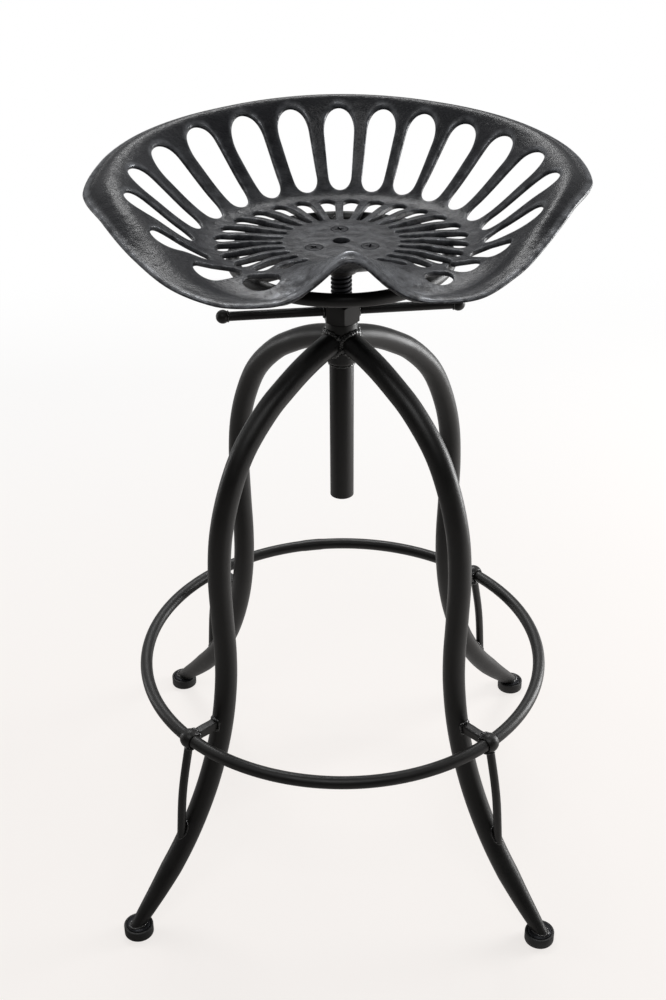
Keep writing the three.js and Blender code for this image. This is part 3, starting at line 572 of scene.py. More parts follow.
def foot_oval(angle):
    """Round the leg's slanted end on the disc."""
    out = LEG_REACH + FOOT_OVAL_REACH * math.cos(angle)
    return turned_from_x(out, LEG_TIP_RADIUS * math.sin(angle), DISC_LEVELS[1] + 0.6, LEG_TURNS[0])


# Painted weld: the same coat, glossier and rippled, so a bead sparkles between dull tubes
painted_weld, tree, place = new_material("painted_weld_bead")
WELD_RIPPLE = 2.38095
ripple = add_node(tree, "TexNoise", {"Vector": place, "Scale": scale_of(WELD_RIPPLE), "Detail": 3})
tint = add_node(tree, "Mix", {
    "Factor": ripple, "A": linear("0c0b0b"), "B": linear("1f1e1d")}, data_type="RGBA")
rough = add_node(tree, "MapRange", {"Value": ripple, **NOISE_SPAN, "To Min": 0.12, "To Max": 0.24})
crust = add_node(tree, "Bump", {"Height": ripple, "Strength": 0.5, "Distance": 0.6 * MM})
shader = add_node(tree, "BsdfPrincipled", {
    "Base Color": tint, "Roughness": rough, "Normal": crust, "Specular IOR Level": 0.8})
add_node(tree, "OutputMaterial", {"Surface": shader})

leg_weld = join("leg_weld_1", [weld("saddle", loop(FULL_LOOP, hub_saddle), SADDLE_BEAD),
                               weld("oval", loop(FULL_LOOP, foot_oval), FOOT_BEAD)])
leg_weld.data.materials.append(painted_weld)
for piece in copy_round(leg_weld, QUARTER_TURNS):
    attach(piece, "underframe")


def level_circle(radius, height, count):
    """A level circle of points round the stool's axis."""
    return loop(count, lambda angle: polar(radius, math.degrees(angle), height))


sleeve_circle = level_circle(SLEEVE_RADIUS + 0.4, SLEEVE_LEVELS[1] - 0.3, FULL_LOOP)
sleeve_weld = weld("sleeve_weld", sleeve_circle, SLEEVE_BEAD)
sleeve_weld.data.materials.append(painted_weld)
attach(sleeve_weld, "underframe")

# Foot ring: a steel rod rolled to a circle, its ends butt-welded behind and ground down.
# It passes through a drilled ball at each leg.
RING_STAND_OFF = 40.5
RING_HEIGHT = 200.8
RING_ROD = 6
RING_JOINT_TURN = 97
JOINT_BULGE = 0.35


def leg_out(height):
    """How far out the leg's centre line is at a height in mm."""
    below = [(p.z, math.hypot(p.x, p.y)) for p in reversed(leg_line)]
    return float(np.interp(height, [b[0] for b in below], [b[1] for b in below]))


def level_ring(name, radius, rod, height, steps, sides):
    """A level ring of round rod round the stool's axis."""
    return start(name, bpy.ops.mesh.primitive_torus_add, major_segments=steps, minor_segments=sides,
                 major_radius=radius * MM, minor_radius=rod * MM, location=(0, 0, height * MM))


def butt_joint(ring, radius, rod, height, turn):
    """Swells a ring a little where its rod's ends are welded and ground down, and ends the editing."""
    joint = polar(radius, turn, height)
    pick_faces(ring, lambda middle, normal: (middle - joint).length < rod + 3)
    bpy.ops.transform.shrink_fatten(value=JOINT_BULGE * MM)
    close(ring, 60)


RING_RADIUS = leg_out(RING_HEIGHT) + RING_STAND_OFF
ring = level_ring("foot_rail", RING_RADIUS, RING_ROD, RING_HEIGHT, 240, 28)
butt_joint(ring, RING_RADIUS, RING_ROD, RING_HEIGHT, RING_JOINT_TURN)
ring.data.materials.append(powder_coat)
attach(ring, "underframe")
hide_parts("foot_ring")

# Ring balls: steel balls drilled for the rod, one at each leg, with the drilled edges broken.
# The hole is a little wide, so a dark line shows round the rod.
BALL_RADIUS = 9.5
BALL_HOLE = 7
ball_place = polar(RING_RADIUS, LEG_TURNS[0], RING_HEIGHT)
ball = start("rail_ball_1", bpy.ops.mesh.primitive_uv_sphere_add, segments=48, ring_count=32,
             radius=BALL_RADIUS * MM, location=ball_place * MM,
             rotation=(math.pi / 2, 0, math.radians(LEG_TURNS[0])))
carve(ball, level_ring("rail_hole", RING_RADIUS, BALL_HOLE, RING_HEIGHT, 240, 32))
round_edges(ball, 0.4)
close(ball, 40)
ball.data.materials.append(powder_coat)
for i, piece in enumerate(copy_round(ball, QUARTER_TURNS), 1):
    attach(piece, "underframe")
    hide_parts(f"ring_ball_{i}")

# Ring bars: short pieces of square bar that hold the balls off the legs, sawn and set on by eye.
# Their edges are rounded by rolling and their faces slightly uneven.
BAR_WIDTH = 9
BAR_SPAN = (LEG_RADIUS - 2, RING_STAND_OFF - BALL_RADIUS + 2)
BAR_ROUNDING = 1.3
BAR_UNEVENNESS = 0.7
bar_middle = leg_out(RING_HEIGHT) + sum(BAR_SPAN) / 2
bar = start("rail_bar_1", bpy.ops.mesh.primitive_cube_add, size=1,
            location=polar(bar_middle, LEG_TURNS[0], RING_HEIGHT) * MM,
            rotation=(0, 0, math.radians(LEG_TURNS[0])),
            scale=((BAR_SPAN[1] - BAR_SPAN[0]) * MM, BAR_WIDTH * MM, BAR_WIDTH * MM))
round_edges(bar, BAR_ROUNDING)
pick_faces(bar, lambda middle, normal: True)
bpy.ops.mesh.subdivide(number_cuts=4)
bpy.ops.object.mode_set(mode="OBJECT")
bar_dents = bpy.data.textures.new("bar_dents", "CLOUDS")
bar_dents.noise_scale = 7 * MM
modify(bar, "DISPLACE", texture=bar_dents, strength=BAR_UNEVENNESS * MM, mid_level=0.5,
       texture_coords="LOCAL")
close(bar, 50)
bar.data.materials.append(powder_coat)
for i, piece in enumerate(copy_round(bar, QUARTER_TURNS), 1):
    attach(piece, "underframe")
    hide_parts(f"ring_bar_{i}")

# Brace rods: slim rods bowed a little outwards from under each ball down to the leg.
# They stop the ring from tipping when a foot rests on it.
BRACE_RADIUS = 4.1
BRACE_FOOT_HEIGHT = 0.42 * RING_HEIGHT
BRACE_FOOT_SINK = 2.1
BRACE_FOOT_OUT = leg_out(BRACE_FOOT_HEIGHT) + LEG_RADIUS - BRACE_FOOT_SINK
BRACE_BOW = 3.2
brace_ends = (RING_RADIUS, RING_HEIGHT), (BRACE_FOOT_OUT, BRACE_FOOT_HEIGHT)
brace_middle = [sum(pair) / 2 for pair in zip(*brace_ends)]
brace_points = [brace_ends[0], (brace_middle[0] + BRACE_BOW, brace_middle[1]), brace_ends[1]]
brace_line = smooth_line([polar(out, LEG_TURNS[0], height) for out, height in brace_points], 12)
brace = swept("rail_brace_1", [p for p in brace_line if p.z < RING_HEIGHT - RING_ROD], BRACE_RADIUS)
round_edges(brace, 0.8, 60)
close(brace, 50)
brace.data.materials.append(powder_coat)
for i, piece in enumerate(copy_round(brace, QUARTER_TURNS), 1):
    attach(piece, "underframe")
    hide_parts(f"ring_brace_{i}")

# Welds of the foot ring: one round each end of the bar, one under the ball and one along the
# brace's slanted foot, all painted over.
BAR_AT_LEG_BEAD = 1.7
BAR_AT_BALL_BEAD = 1.6
BRACE_AT_BALL_BEAD = 1.9
BRACE_AT_LEG_BEAD = 1.2
BRACE_OVAL = (5, 9.5)
leg_slope = (leg_out(RING_HEIGHT + 10) - leg_out(RING_HEIGHT - 10)) / 20


def bar_corner(angle):
    """A rounded square round the bar: how far across and up."""
    grow = BAR_WIDTH * 0.56 / max(abs(math.cos(angle)), abs(math.sin(angle)), 0.8)
    return grow * math.cos(angle), grow * math.sin(angle)


def bar_at_leg(angle):
    """Where the bar meets the leg's skin."""
    across, up = bar_corner(angle)
    out = leg_out(RING_HEIGHT) + leg_slope * up + math.sqrt(LEG_RADIUS ** 2 - across ** 2)
    return turned_from_x(out, across, RING_HEIGHT + up, LEG_TURNS[0])


def bar_at_ball(angle):
    """Where the bar meets the ball."""
    across, up = bar_corner(angle)
    out = RING_RADIUS - math.sqrt(BALL_RADIUS ** 2 - across ** 2 - up ** 2)
    return turned_from_x(out, across, RING_HEIGHT + up, LEG_TURNS[0])


def brace_at_ball(angle):
    """Round the brace under the ball."""
    out = RING_RADIUS + 0.3 + BRACE_RADIUS * math.cos(angle)
    return turned_from_x(out, BRACE_RADIUS * math.sin(angle), RING_HEIGHT - BALL_RADIUS - 0.4, LEG_TURNS[0])


def brace_at_leg(angle):
    """An oval along the leg where the brace's foot runs into it."""
    height = BRACE_FOOT_HEIGHT - 0.5
    lean = Vector((leg_out(height + 4) - leg_out(height - 4), 8)).normalized()
    outwards = Vector((lean.y, -lean.x))
    across = (BRACE_RADIUS + 0.4) * math.sin(angle)
    sag = LEG_RADIUS - math.sqrt(LEG_RADIUS ** 2 - across ** 2)
    spot = (Vector((leg_out(height), height)) + outwards * (LEG_RADIUS - sag)
            + lean * (BRACE_OVAL[0] + BRACE_OVAL[1] * math.cos(angle)))
    return turned_from_x(spot.x, across, spot.y, LEG_TURNS[0])


rail_weld = join("rail_weld_1", [
    weld("bar_at_leg", loop(FULL_LOOP, bar_at_leg), BAR_AT_LEG_BEAD),
    weld("bar_at_ball", loop(FULL_LOOP, bar_at_ball), BAR_AT_BALL_BEAD),
    weld("brace_at_ball", loop(FULL_LOOP, brace_at_ball), BRACE_AT_BALL_BEAD),
    weld("brace_at_leg", loop(FULL_LOOP, brace_at_leg), BRACE_AT_LEG_BEAD)])
rail_weld.data.materials.append(painted_weld)
for piece in copy_round(rail_weld, QUARTER_TURNS):
    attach(piece, "underframe")

# Lock nut: a hexagon nut with its corners turned off at both ends, run down on the hub
# to hold the spindle at its height.
NUT_FLATS = 30
NUT_LEVELS = (570.3, 587.6)
NUT_CORNER_TURN = 36
NUT_CHAMFER = 2
NUT_BORE = 9.8


def hexagon(name, flats, low, high, corner_turn, chamfer):
    """A six-sided head with its corners turned off at both ends."""
    corner = flats / 2 / math.cos(math.radians(30))
    drop = chamfer * math.tan(math.radians(30))
    piece = upright_rod(name, corner, low, high, corners=6)
    piece.data.transform(Matrix.Rotation(math.radians(corner_turn - 90), 4, "Z"))
    blank = upright_rod("hexagon_blank", corner + 0.05, low + drop, high - drop, corners=128)
    pick_faces(blank, lambda middle, normal: abs(normal.z) > 0.9)
    bpy.ops.mesh.inset(thickness=chamfer * MM, depth=drop * MM)
    bpy.ops.object.mode_set(mode="OBJECT")
    carve(piece, blank, "INTERSECT")
    return piece


nut = hexagon("height_nut", NUT_FLATS, *NUT_LEVELS, NUT_CORNER_TURN, NUT_CHAMFER)
carve(nut, upright_rod("nut_bore", NUT_BORE, *CUT_THROUGH))
round_edges(nut, 0.5, 25)
close(nut, 30)
nut.data.materials.append(powder_coat)
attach(nut, "lock")
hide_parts("lock_nut")

# Lock lever: two steel rods welded to opposite faces of the nut, so that it can be turned by
# hand without a spanner. A steel ball with a flat ground on it is welded to each rod's end.
LEVER_TURN = 4.1
LEVER_HEIGHT = 578.95
LEVER_ROD = 4.25
LEVER_REACH = 106
LEVER_BALL = 6.2
LEVER_BALL_FLAT = 4.2
LEVER_START = 14.2
NUT_BEAD = 1.5
BALL_BEAD = 1
lever_line = [polar(out, LEVER_TURN, LEVER_HEIGHT)
              for out in (LEVER_START, 40, 70, LEVER_REACH - LEVER_BALL_FLAT + 1)]
lever = swept("lever_rod_1", lever_line, LEVER_ROD)
close(lever, 50)
lever.data.materials.append(powder_coat)
knob = start("lever_ball_1", bpy.ops.mesh.primitive_uv_sphere_add, segments=48, ring_count=32,
             radius=LEVER_BALL * MM, location=polar(LEVER_REACH, LEVER_TURN, LEVER_HEIGHT) * MM,
             rotation=(0, math.pi / 2, math.radians(LEVER_TURN)))
outwards = polar(1, LEVER_TURN)
for side, flat in ((-1, LEVER_BALL_FLAT), (1, LEVER_BALL - 0.15)):
    pick_faces(knob, lambda middle, normal: True)
    bpy.ops.mesh.bisect(
        plane_co=polar(LEVER_REACH + side * flat, LEVER_TURN, LEVER_HEIGHT) * MM,
        plane_no=outwards * side, use_fill=True, clear_outer=True)
    bpy.ops.object.mode_set(mode="OBJECT")
round_edges(knob, 0.3, 30)
close(knob, 40)
knob.data.materials.append(powder_coat)


def round_rod(out, radius, turn, height):
    """A loop round a level rod that runs outwards."""
    return loop(FULL_LOOP, lambda angle: turned_from_x(
        out, radius * math.cos(angle), height + radius * math.sin(angle), turn))


at_nut = round_rod(NUT_FLATS / 2 + 0.6, LEVER_ROD + 0.5, LEVER_TURN, LEVER_HEIGHT)
at_ball = round_rod(LEVER_REACH - LEVER_BALL_FLAT - 0.4, LEVER_ROD + 0.2, LEVER_TURN, LEVER_HEIGHT)
lever_weld = join("lever_weld_1", [weld("at_nut", at_nut, NUT_BEAD), weld("at_ball", at_ball, BALL_BEAD)])
lever_weld.data.materials.append(painted_weld)
for shape, node in ((lever, "lock_arm_"), (knob, "lock_ball_"), (lever_weld, "")):
    for i, piece in enumerate(copy_round(shape, (180,)), 1):
        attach(piece, "lock")
        if node:
            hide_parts(f"{node}{i}")

# Spindle: a steel bar with a coarse rolled thread, a plain neck under the seat and a plain lower
# end with a tapped hole for the stop screw. It is blackened and greased.
SPINDLE_RADIUS = 9.5
THREAD_DEPTH = 1.6
THREAD_PITCH = 4
THREAD_LEVELS = (423, 616)
# Between the thread's own points, so that the cut runs through none of them
THREAD_CUT_OFFSET = 0.037
SPINDLE_END = 418
SPINDLE_PLAIN_RADIUS = 7.1
SPINDLE_NECK_RADIUS = 9.9
SPINDLE_NECK = (615.1, 633.7)
# One turn of the thread: heights in mm and shares of the depth
THREAD_FORM = ((0, 0), (1, 0), (1.15, 0.1), (1.8, 0.9), (2, 1), (3, 1), (3.2, 0.9), (3.85, 0.1), (4, 0))
SCREW_HOLE = 4.2
thread_turns = round((THREAD_LEVELS[1] - THREAD_LEVELS[0]) / THREAD_PITCH) + 2
form = [(SPINDLE_RADIUS - depth * THREAD_DEPTH, 0, THREAD_LEVELS[0] - THREAD_PITCH + height)
        for height, depth in THREAD_FORM]
thread_mesh = bpy.data.meshes.new("lift_screw")
thread_mesh.from_pydata([Vector(p) * MM for p in form], [(i, i + 1) for i in range(len(form) - 1)], [])
spindle = bpy.data.objects.new("lift_screw", thread_mesh)
bpy.context.scene.collection.objects.link(spindle)
modify(spindle, "SCREW", steps=40, render_steps=40, iterations=thread_turns,
       screw_offset=THREAD_PITCH * MM, use_merge_vertices=False)
close(spindle, 30)
for level, side in zip(THREAD_LEVELS, (-1, 1)):
    pick_faces(spindle, lambda middle, normal: True)
    bpy.ops.mesh.bisect(plane_co=(0, 0, (level + THREAD_CUT_OFFSET) * MM), plane_no=(0, 0, side),
                        use_fill=True, clear_outer=True)
    bpy.ops.object.mode_set(mode="OBJECT")
neck = upright_rod("neck", SPINDLE_NECK_RADIUS, *SPINDLE_NECK)
round_edges(neck, 0.6)
plain_end = upright_rod("plain_end", SPINDLE_PLAIN_RADIUS, SPINDLE_END, THREAD_LEVELS[0] + 2)
carve(plain_end, upright_rod("screw_hole", SCREW_HOLE, SPINDLE_END - 18, THREAD_LEVELS[0] + 1))
round_edges(plain_end, 0.6)
spindle = join("lift_screw", [spindle, neck, plain_end])
close(spindle, 30)
spindle.data.materials.append(blackened_steel)
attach(spindle, "seat_unit")
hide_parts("spindle")

# Stop: a washer and a hexagon screw at the spindle's lower end, so it can't be wound out.
WASHER_RADIUS = 10.2
WASHER_LEVELS = (414.7, 417.7)
washer = upright_rod("end_washer", WASHER_RADIUS, *WASHER_LEVELS)
bore_through(washer, WASHER_RADIUS, SCREW_HOLE)
round_edges(washer, 0.4)
close(washer)
washer.data.materials.append(blackened_steel)
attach(washer, "lift")
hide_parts("stop_washer")

STOP_HEAD_FLATS = 13
STOP_HEAD_LEVELS = (408.9, 414.4)
STOP_HEAD_TURN = 90
STOP_HEAD_CHAMFER = 0.9
STOP_SHANK = (3.9, 412, 431.7)
stop = hexagon("end_screw", STOP_HEAD_FLATS, *STOP_HEAD_LEVELS, STOP_HEAD_TURN, STOP_HEAD_CHAMFER)
round_edges(stop, 0.25, 25)
stop_shank = upright_rod("stop_shank", *STOP_SHANK, corners=32)
round_edges(stop_shank, 0.5)
stop = join("end_screw", [stop, stop_shank])
close(stop, 30)
stop.data.materials.append(blackened_steel)
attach(stop, "seat_unit")
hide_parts("stop_screw")

# Collar: a turned steel cone welded on the spindle's neck, which spreads the load to the plate.
COLLAR_RADII = (14, 26)
COLLAR_LEVELS = (616.7, 633.7)
COLLAR_RIM = 3
COLLAR_BORE = 10.2
rim_under = COLLAR_LEVELS[1] - COLLAR_RIM
collar = upright_rod("seat_cone", COLLAR_RADII[1], rim_under, COLLAR_LEVELS[1])
cone_on(collar, COLLAR_LEVELS[0] - rim_under, COLLAR_RADII[0] / COLLAR_RADII[1], COLLAR_LEVELS[0])
carve(collar, upright_rod("collar_bore", COLLAR_BORE, *CUT_THROUGH))
round_edges(collar, 0.6, 25)
close(collar)
collar.data.materials.append(powder_coat)
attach(collar, "seat_unit")
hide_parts("seat_collar")

# Support ring and arms: a rolled rod under the pan on three short rods from the collar.
# It carries the pan's wall when the sitter leans.
SUPPORT_RING_RADIUS = 95
SUPPORT_RING_HEIGHT = 630
SUPPORT_ROD = 6
SUPPORT_ARM_ROD = 5
SUPPORT_ARM_HEIGHT = 628.7
SUPPORT_ARM_TURN = 90
SUPPORT_JOINT_TURN = 52
THIRD_TURNS = (120, 240)
AT_RING_BEAD = 1.5
AT_COLLAR_BEAD = 1.6
AT_PLATE_BEAD = 1.3
AT_NECK_BEAD = 1.2
carrier = level_ring("pan_ring", SUPPORT_RING_RADIUS, SUPPORT_ROD, SUPPORT_RING_HEIGHT, 160, 24)
butt_joint(carrier, SUPPORT_RING_RADIUS, SUPPORT_ROD, SUPPORT_RING_HEIGHT, SUPPORT_JOINT_TURN)
carrier.data.materials.append(powder_coat)
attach(carrier, "seat_unit")
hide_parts("support_ring")

arm_line = [polar(out, SUPPORT_ARM_TURN, SUPPORT_ARM_HEIGHT) for out in (19.5, 45, 70, 92)]
arm = swept("pan_arm_1", arm_line, SUPPORT_ARM_ROD)
close(arm, 50)
arm.data.materials.append(powder_coat)
for i, piece in enumerate(copy_round(arm, THIRD_TURNS), 1):
    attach(piece, "seat_unit")
    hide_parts(f"support_arm_{i}")


def arm_at_ring(angle):
    """Where an arm meets the support ring."""
    up = SUPPORT_ARM_HEIGHT - SUPPORT_RING_HEIGHT + SUPPORT_ARM_ROD * 0.9 * math.sin(angle)
    out = SUPPORT_RING_RADIUS - math.sqrt(max(1, (SUPPORT_ROD + 0.4) ** 2 - up ** 2))
    across = (SUPPORT_ARM_ROD + 0.6) * math.cos(angle)
    return turned_from_x(out, across, SUPPORT_RING_HEIGHT + up, SUPPORT_ARM_TURN)


def arm_at_collar(angle):
    """Where an arm meets the collar's cone, or its rim if it reaches that high."""
    height = min(SUPPORT_ARM_HEIGHT + (SUPPORT_ARM_ROD + 0.4) * math.sin(angle), rim_under + 1)
    across = (SUPPORT_ARM_ROD + 0.4) * math.cos(angle)
    widened = min(1, (height - COLLAR_LEVELS[0]) / (rim_under - COLLAR_LEVELS[0]))
    radius = COLLAR_RADII[0] + (COLLAR_RADII[1] - COLLAR_RADII[0]) * widened + 0.3
    return turned_from_x(math.sqrt(radius ** 2 - across ** 2), across, height, SUPPORT_ARM_TURN)


arm_weld = join("arm_weld_1", [weld("at_ring", loop(FULL_LOOP, arm_at_ring), AT_RING_BEAD),
                               weld("at_collar", loop(FULL_LOOP, arm_at_collar), AT_COLLAR_BEAD)])
arm_weld.data.materials.append(painted_weld)
at_plate = level_circle(COLLAR_RADII[1], COLLAR_LEVELS[1] - 0.6, 2 * FULL_LOOP)
at_neck = level_circle(COLLAR_BORE + 0.2, COLLAR_LEVELS[0] - 0.2, FULL_LOOP)
collar_weld = join("collar_weld", [weld("at_plate", at_plate, AT_PLATE_BEAD),
                                   weld("at_neck", at_neck, AT_NECK_BEAD)])
collar_weld.data.materials.append(painted_weld)
for piece in copy_round(arm_weld, THIRD_TURNS) + [collar_weld]:
    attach(piece, "seat_unit")

# Seat plate: a round steel plate on the collar with three tapped holes for the seat's screws.
PLATE_RADIUS = 42
PLATE_LEVELS = (634, 637.7)
PLATE_HOLE = 4.1
SCREW_CIRCLE = 28
SCREW_TURNS = (0, 120, 240)
plate = upright_rod("screw_plate", PLATE_RADIUS, *PLATE_LEVELS, corners=96)
for turn in SCREW_TURNS:
    hole = upright_rod("plate_hole", PLATE_HOLE, *CUT_THROUGH, corners=32)
    hole.data.transform(Matrix.Translation(polar(SCREW_CIRCLE, 90 + turn) * MM))
    carve(plate, hole)
round_edges(plate, 0.5)
close(plate)
plate.data.materials.append(powder_coat)
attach(plate, "seat_unit")
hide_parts("seat_plate")

# Seat: one iron casting with slots, painted satin black. The sand leaves a fine grain and soft,
# uneven faces, and sitters polish the pommel, the disc and the slots' edges; the pommel's grey is
# also a painted highlight. Its bowl is a height over each place, so its net is fitted to the slots
# by formula and not with operators.
SEAT_HALF_WIDTH = 217.4
SEAT_TOP = 645
SEAT_RISE = 77
SEAT_THICKNESS = 7
SEAT_WALL = 4
HUB_DISC_RADIUS = 46
RIM_CROWN = 6.5
RIM_ROLL = 1.6
POMMEL_RISE = 31
POMMEL_WIDTHS = (62, 31)
POMMEL_RADII = (50, 122)
DISH_SHARES = (0.72, 0.2)
BAND_RISE_SHARE = 0.058
# From the back (0) to the front (1): where the slots, the band round them and the edge lie, in
# shares of the half width, and how high the slots' outer ends and the edge are, of the rise
STATIONS = {
    "turn": (0, 0.167, 0.256, 0.339, 0.425, 0.5, 0.583, 0.667, 0.739, 0.806, 0.867, 0.922, 1),
    "inner": (0.478, 0.483, 0.49, 0.505, 0.515, 0.51, 0.505, 0.49, 0.458, 0.412, 0.39, 0.38, 0.37),
    "band": (0.527, 0.531, 0.543, 0.556, 0.563, 0.563, 0.561, 0.554, 0.543, 0.529, 0.515, 0.506, 0.497),
    "slot": (0.743, 0.751, 0.787, 0.817, 0.847, 0.857, 0.797, 0.727, 0.705, 0.68, 0.65, 0.59, 0.555),
    "edge": (0.83, 0.848, 0.885, 0.924, 0.974, 0.99, 0.918, 0.875, 0.858, 0.842, 0.754, 0.668, 0.632),
    "skew": (0, 0, 0, 0.001, -0.002, 0.007, 0.023, 0.031, 0.031, 0.014, 0, 0, 0),
    "slot_rise": (0.896, 0.89, 0.862, 0.828, 0.79, 0.753, 0.565, 0.3, 0.1, 0.015, 0, 0.02, 0.05),
    "crown": (1, 1, 1, 1, 1, 1, 0.9, 0.55, 0.4, 0.35, 0.4, 0.7, 1),
    "edge_rise": (0.956, 0.928, 0.895, 0.852, 0.742, 0.632, 0.532, 0.37, 0.234, 0.156, 0.104, 0.078, 0.065),
}


def smooth_through(places, values, place, loose=None):
    """A cubic through the values at many places at once, which overshoots only from the loose one on."""
    places, values = np.broadcast_arrays(np.asarray(places, float), np.asarray(values, float))
    secants = (values[1:] - values[:-1]) / (places[1:] - places[:-1])
    slopes = np.zeros(values.shape)
    product = secants[:-1] * secants[1:]
    total = np.where(product > 0, secants[:-1] + secants[1:], 1)
    slopes[1:-1] = np.where(product > 0, 2 * product / total, 0)
    if loose:
        slopes[loose:-1] = 0.5 * (secants[loose - 1:-1] + secants[loose:])
        slopes[-1] = RIM_ROLL * secants[-1]
    index = np.clip((place >= places).sum(0) - 1, 0, len(places) - 2)[None]
    low, high = (np.take_along_axis(places, index + k, 0)[0] for k in (0, 1))
    before, after = (np.take_along_axis(values, index + k, 0)[0] for k in (0, 1))
    leave, arrive = (np.take_along_axis(slopes, index + k, 0)[0] for k in (0, 1))
    span = high - low
    t = np.clip((place - low) / span, 0, 1)
    back = 1 - t
    return (before * back * back * (1 + 2 * t) + after * t * t * (3 - 2 * t)
            + span * leave * t * back * back - span * arrive * t * t * back)


def seat_share(key, angle):
    """A share of the seat's stations at angles from its back."""
    turn = np.abs(angle) / 180
    columns = np.asarray(STATIONS["turn"])[:, None], np.asarray(STATIONS[key])[:, None]
    wide = [np.broadcast_to(c, (len(c), len(turn))) for c in columns]
    return smooth_through(*wide, turn)


def seat_edge(angle):
    """How far out the seat's edge lies."""
    skew = 1 + np.sign(angle) * seat_share("skew", angle)
    return seat_share("edge", angle) * skew * SEAT_HALF_WIDTH


def seat_top(x, y):
    """The height of the seat's upper face."""
    radius = np.hypot(x, y)
    angle = np.degrees(np.arctan2(-x, y))
    band, slot = (seat_share(k, angle) * SEAT_HALF_WIDTH for k in ("band", "slot"))
    edge = seat_edge(angle)
    slot_rise, edge_rise = (seat_share(k, angle) * SEAT_RISE for k in ("slot_rise", "edge_rise"))
    crown = RIM_CROWN * seat_share("crown", angle)
    band_rise = np.full(len(x), BAND_RISE_SHARE * SEAT_RISE)
    none = np.zeros(len(x))
    bowl = smooth_through(
        np.stack([none, none + HUB_DISC_RADIUS, DISH_SHARES[0] * band, band, slot, (slot + edge) / 2, edge]),
        np.stack([none, none, DISH_SHARES[1] * band_rise, band_rise, slot_rise,
                  (slot_rise + edge_rise) / 2 + crown, edge_rise]),
        radius, loose=3)
    ramp = np.clip((radius - POMMEL_RADII[0]) / (POMMEL_RADII[1] - POMMEL_RADII[0]), 0, 1)
    ramp = np.where(y < 0, ramp * ramp * (3 - 2 * ramp), 0)
    spread = POMMEL_WIDTHS[0] + (POMMEL_WIDTHS[1] - POMMEL_WIDTHS[0]) * ramp
    return SEAT_TOP + bowl + POMMEL_RISE * ramp * np.exp(-(x / spread) ** 2)


def seat_under(x, y):
    """The height of the seat's lower face, a wall's thickness under the upper one."""
    radius = np.hypot(x, y)
    angle = np.degrees(np.arctan2(-x, y))
    band, slot = (seat_share(k, angle) * SEAT_HALF_WIDTH for k in ("band", "slot"))
    wall = np.clip((radius - HUB_DISC_RADIUS) / ((band + slot) / 2 - HUB_DISC_RADIUS), 0, 1)
    wall = wall * wall * (3 - 2 * wall)
    slope_x = (seat_top(x + 1, y) - seat_top(x - 1, y)) / 2
    slope_y = (seat_top(x, y + 1) - seat_top(x, y - 1)) / 2
    lean = np.where(radius > HUB_DISC_RADIUS, np.sqrt(1 + slope_x ** 2 + slope_y ** 2), 1)
    return seat_top(x, y) - (SEAT_THICKNESS + (SEAT_WALL - SEAT_THICKNESS) * wall) * np.minimum(lean, 1.8)


# Slots: turns from the back in degrees, and starts, ends and half widths in shares of the seat's
# half width. The pattern for the bowl's slots was cut by eye, so each has its own place and
# slants a little; the inner ones are even and point behind the hub's middle.
INNER_SLOTS = 24
INNER_STEP = 12.5
INNER_MIDDLE = -1.7
INNER_START = 51
INNER_RIB = 6
INNER_FAN = (0, 9)
BOWL_SLOTS = {
    "turn": (
        -2.5, 12.5, 29.4, 45.9, 62.3, 78.2, 93.2, 109.5,
        -16.7, -30.9, -44.4, -58.8, -72.8, -86, -99.3, -112.3,
        127, 143.5, -127.5, -142),
    "far_turn": (
        -2.3, 14.1, 31.3, 48.2, 64.6, 80.7, 95.9, 112.6,
        -17.4, -31.9, -46.7, -61.3, -76.2, -90.4, -104.6, -117.8,
        127, 143.5, -127.5, -142),
    "start": (
        0.5336, 0.5299, 0.5322, 0.5382, 0.5492, 0.575, 0.5888, 0.5497,
        0.5313, 0.5368, 0.5419, 0.5524, 0.5543, 0.5704, 0.5681, 0.5313,
        0.5083, 0.4692, 0.498, 0.5032),
    "end": (
        0.7534, 0.7585, 0.7663, 0.805, 0.8284, 0.8491, 0.8464, 0.7925,
        0.7567, 0.7626, 0.7912, 0.822, 0.8528, 0.8602, 0.7925, 0.7084,
        0.7075, 0.6101, 0.627, 0.612),
    "start_half": (
        0.0497, 0.0524, 0.0543, 0.0515, 0.0561, 0.0506, 0.0483, 0.0561,
        0.0488, 0.0524, 0.0483, 0.0506, 0.0529, 0.0474, 0.0506, 0.0506,
        0.0653, 0.0704, 0.0585, 0.0543),
    "end_half": (
        0.0649, 0.0672, 0.0731, 0.0699, 0.0754, 0.0727, 0.0708, 0.0662,
        0.0616, 0.0644, 0.0639, 0.0649, 0.0713, 0.0616, 0.0667, 0.0511,
        0.0616, 0.0704, 0.0616, 0.0543),
}


def from_back(radius, turn):
    """A point on the seat at a turn from its back, counted towards -X."""
    return np.array([-radius * math.sin(math.radians(turn)), radius * math.cos(math.radians(turn))])


# The edges of the front slots, past this turn from the back, are rounded less: their ribs are thin
INNER_ROUNDING = 1.2
BOWL_ROUNDING = 2.2
FRONT_ROUNDING = 1
FRONT_FROM = 105
SCREW_ROUNDING = 0.8

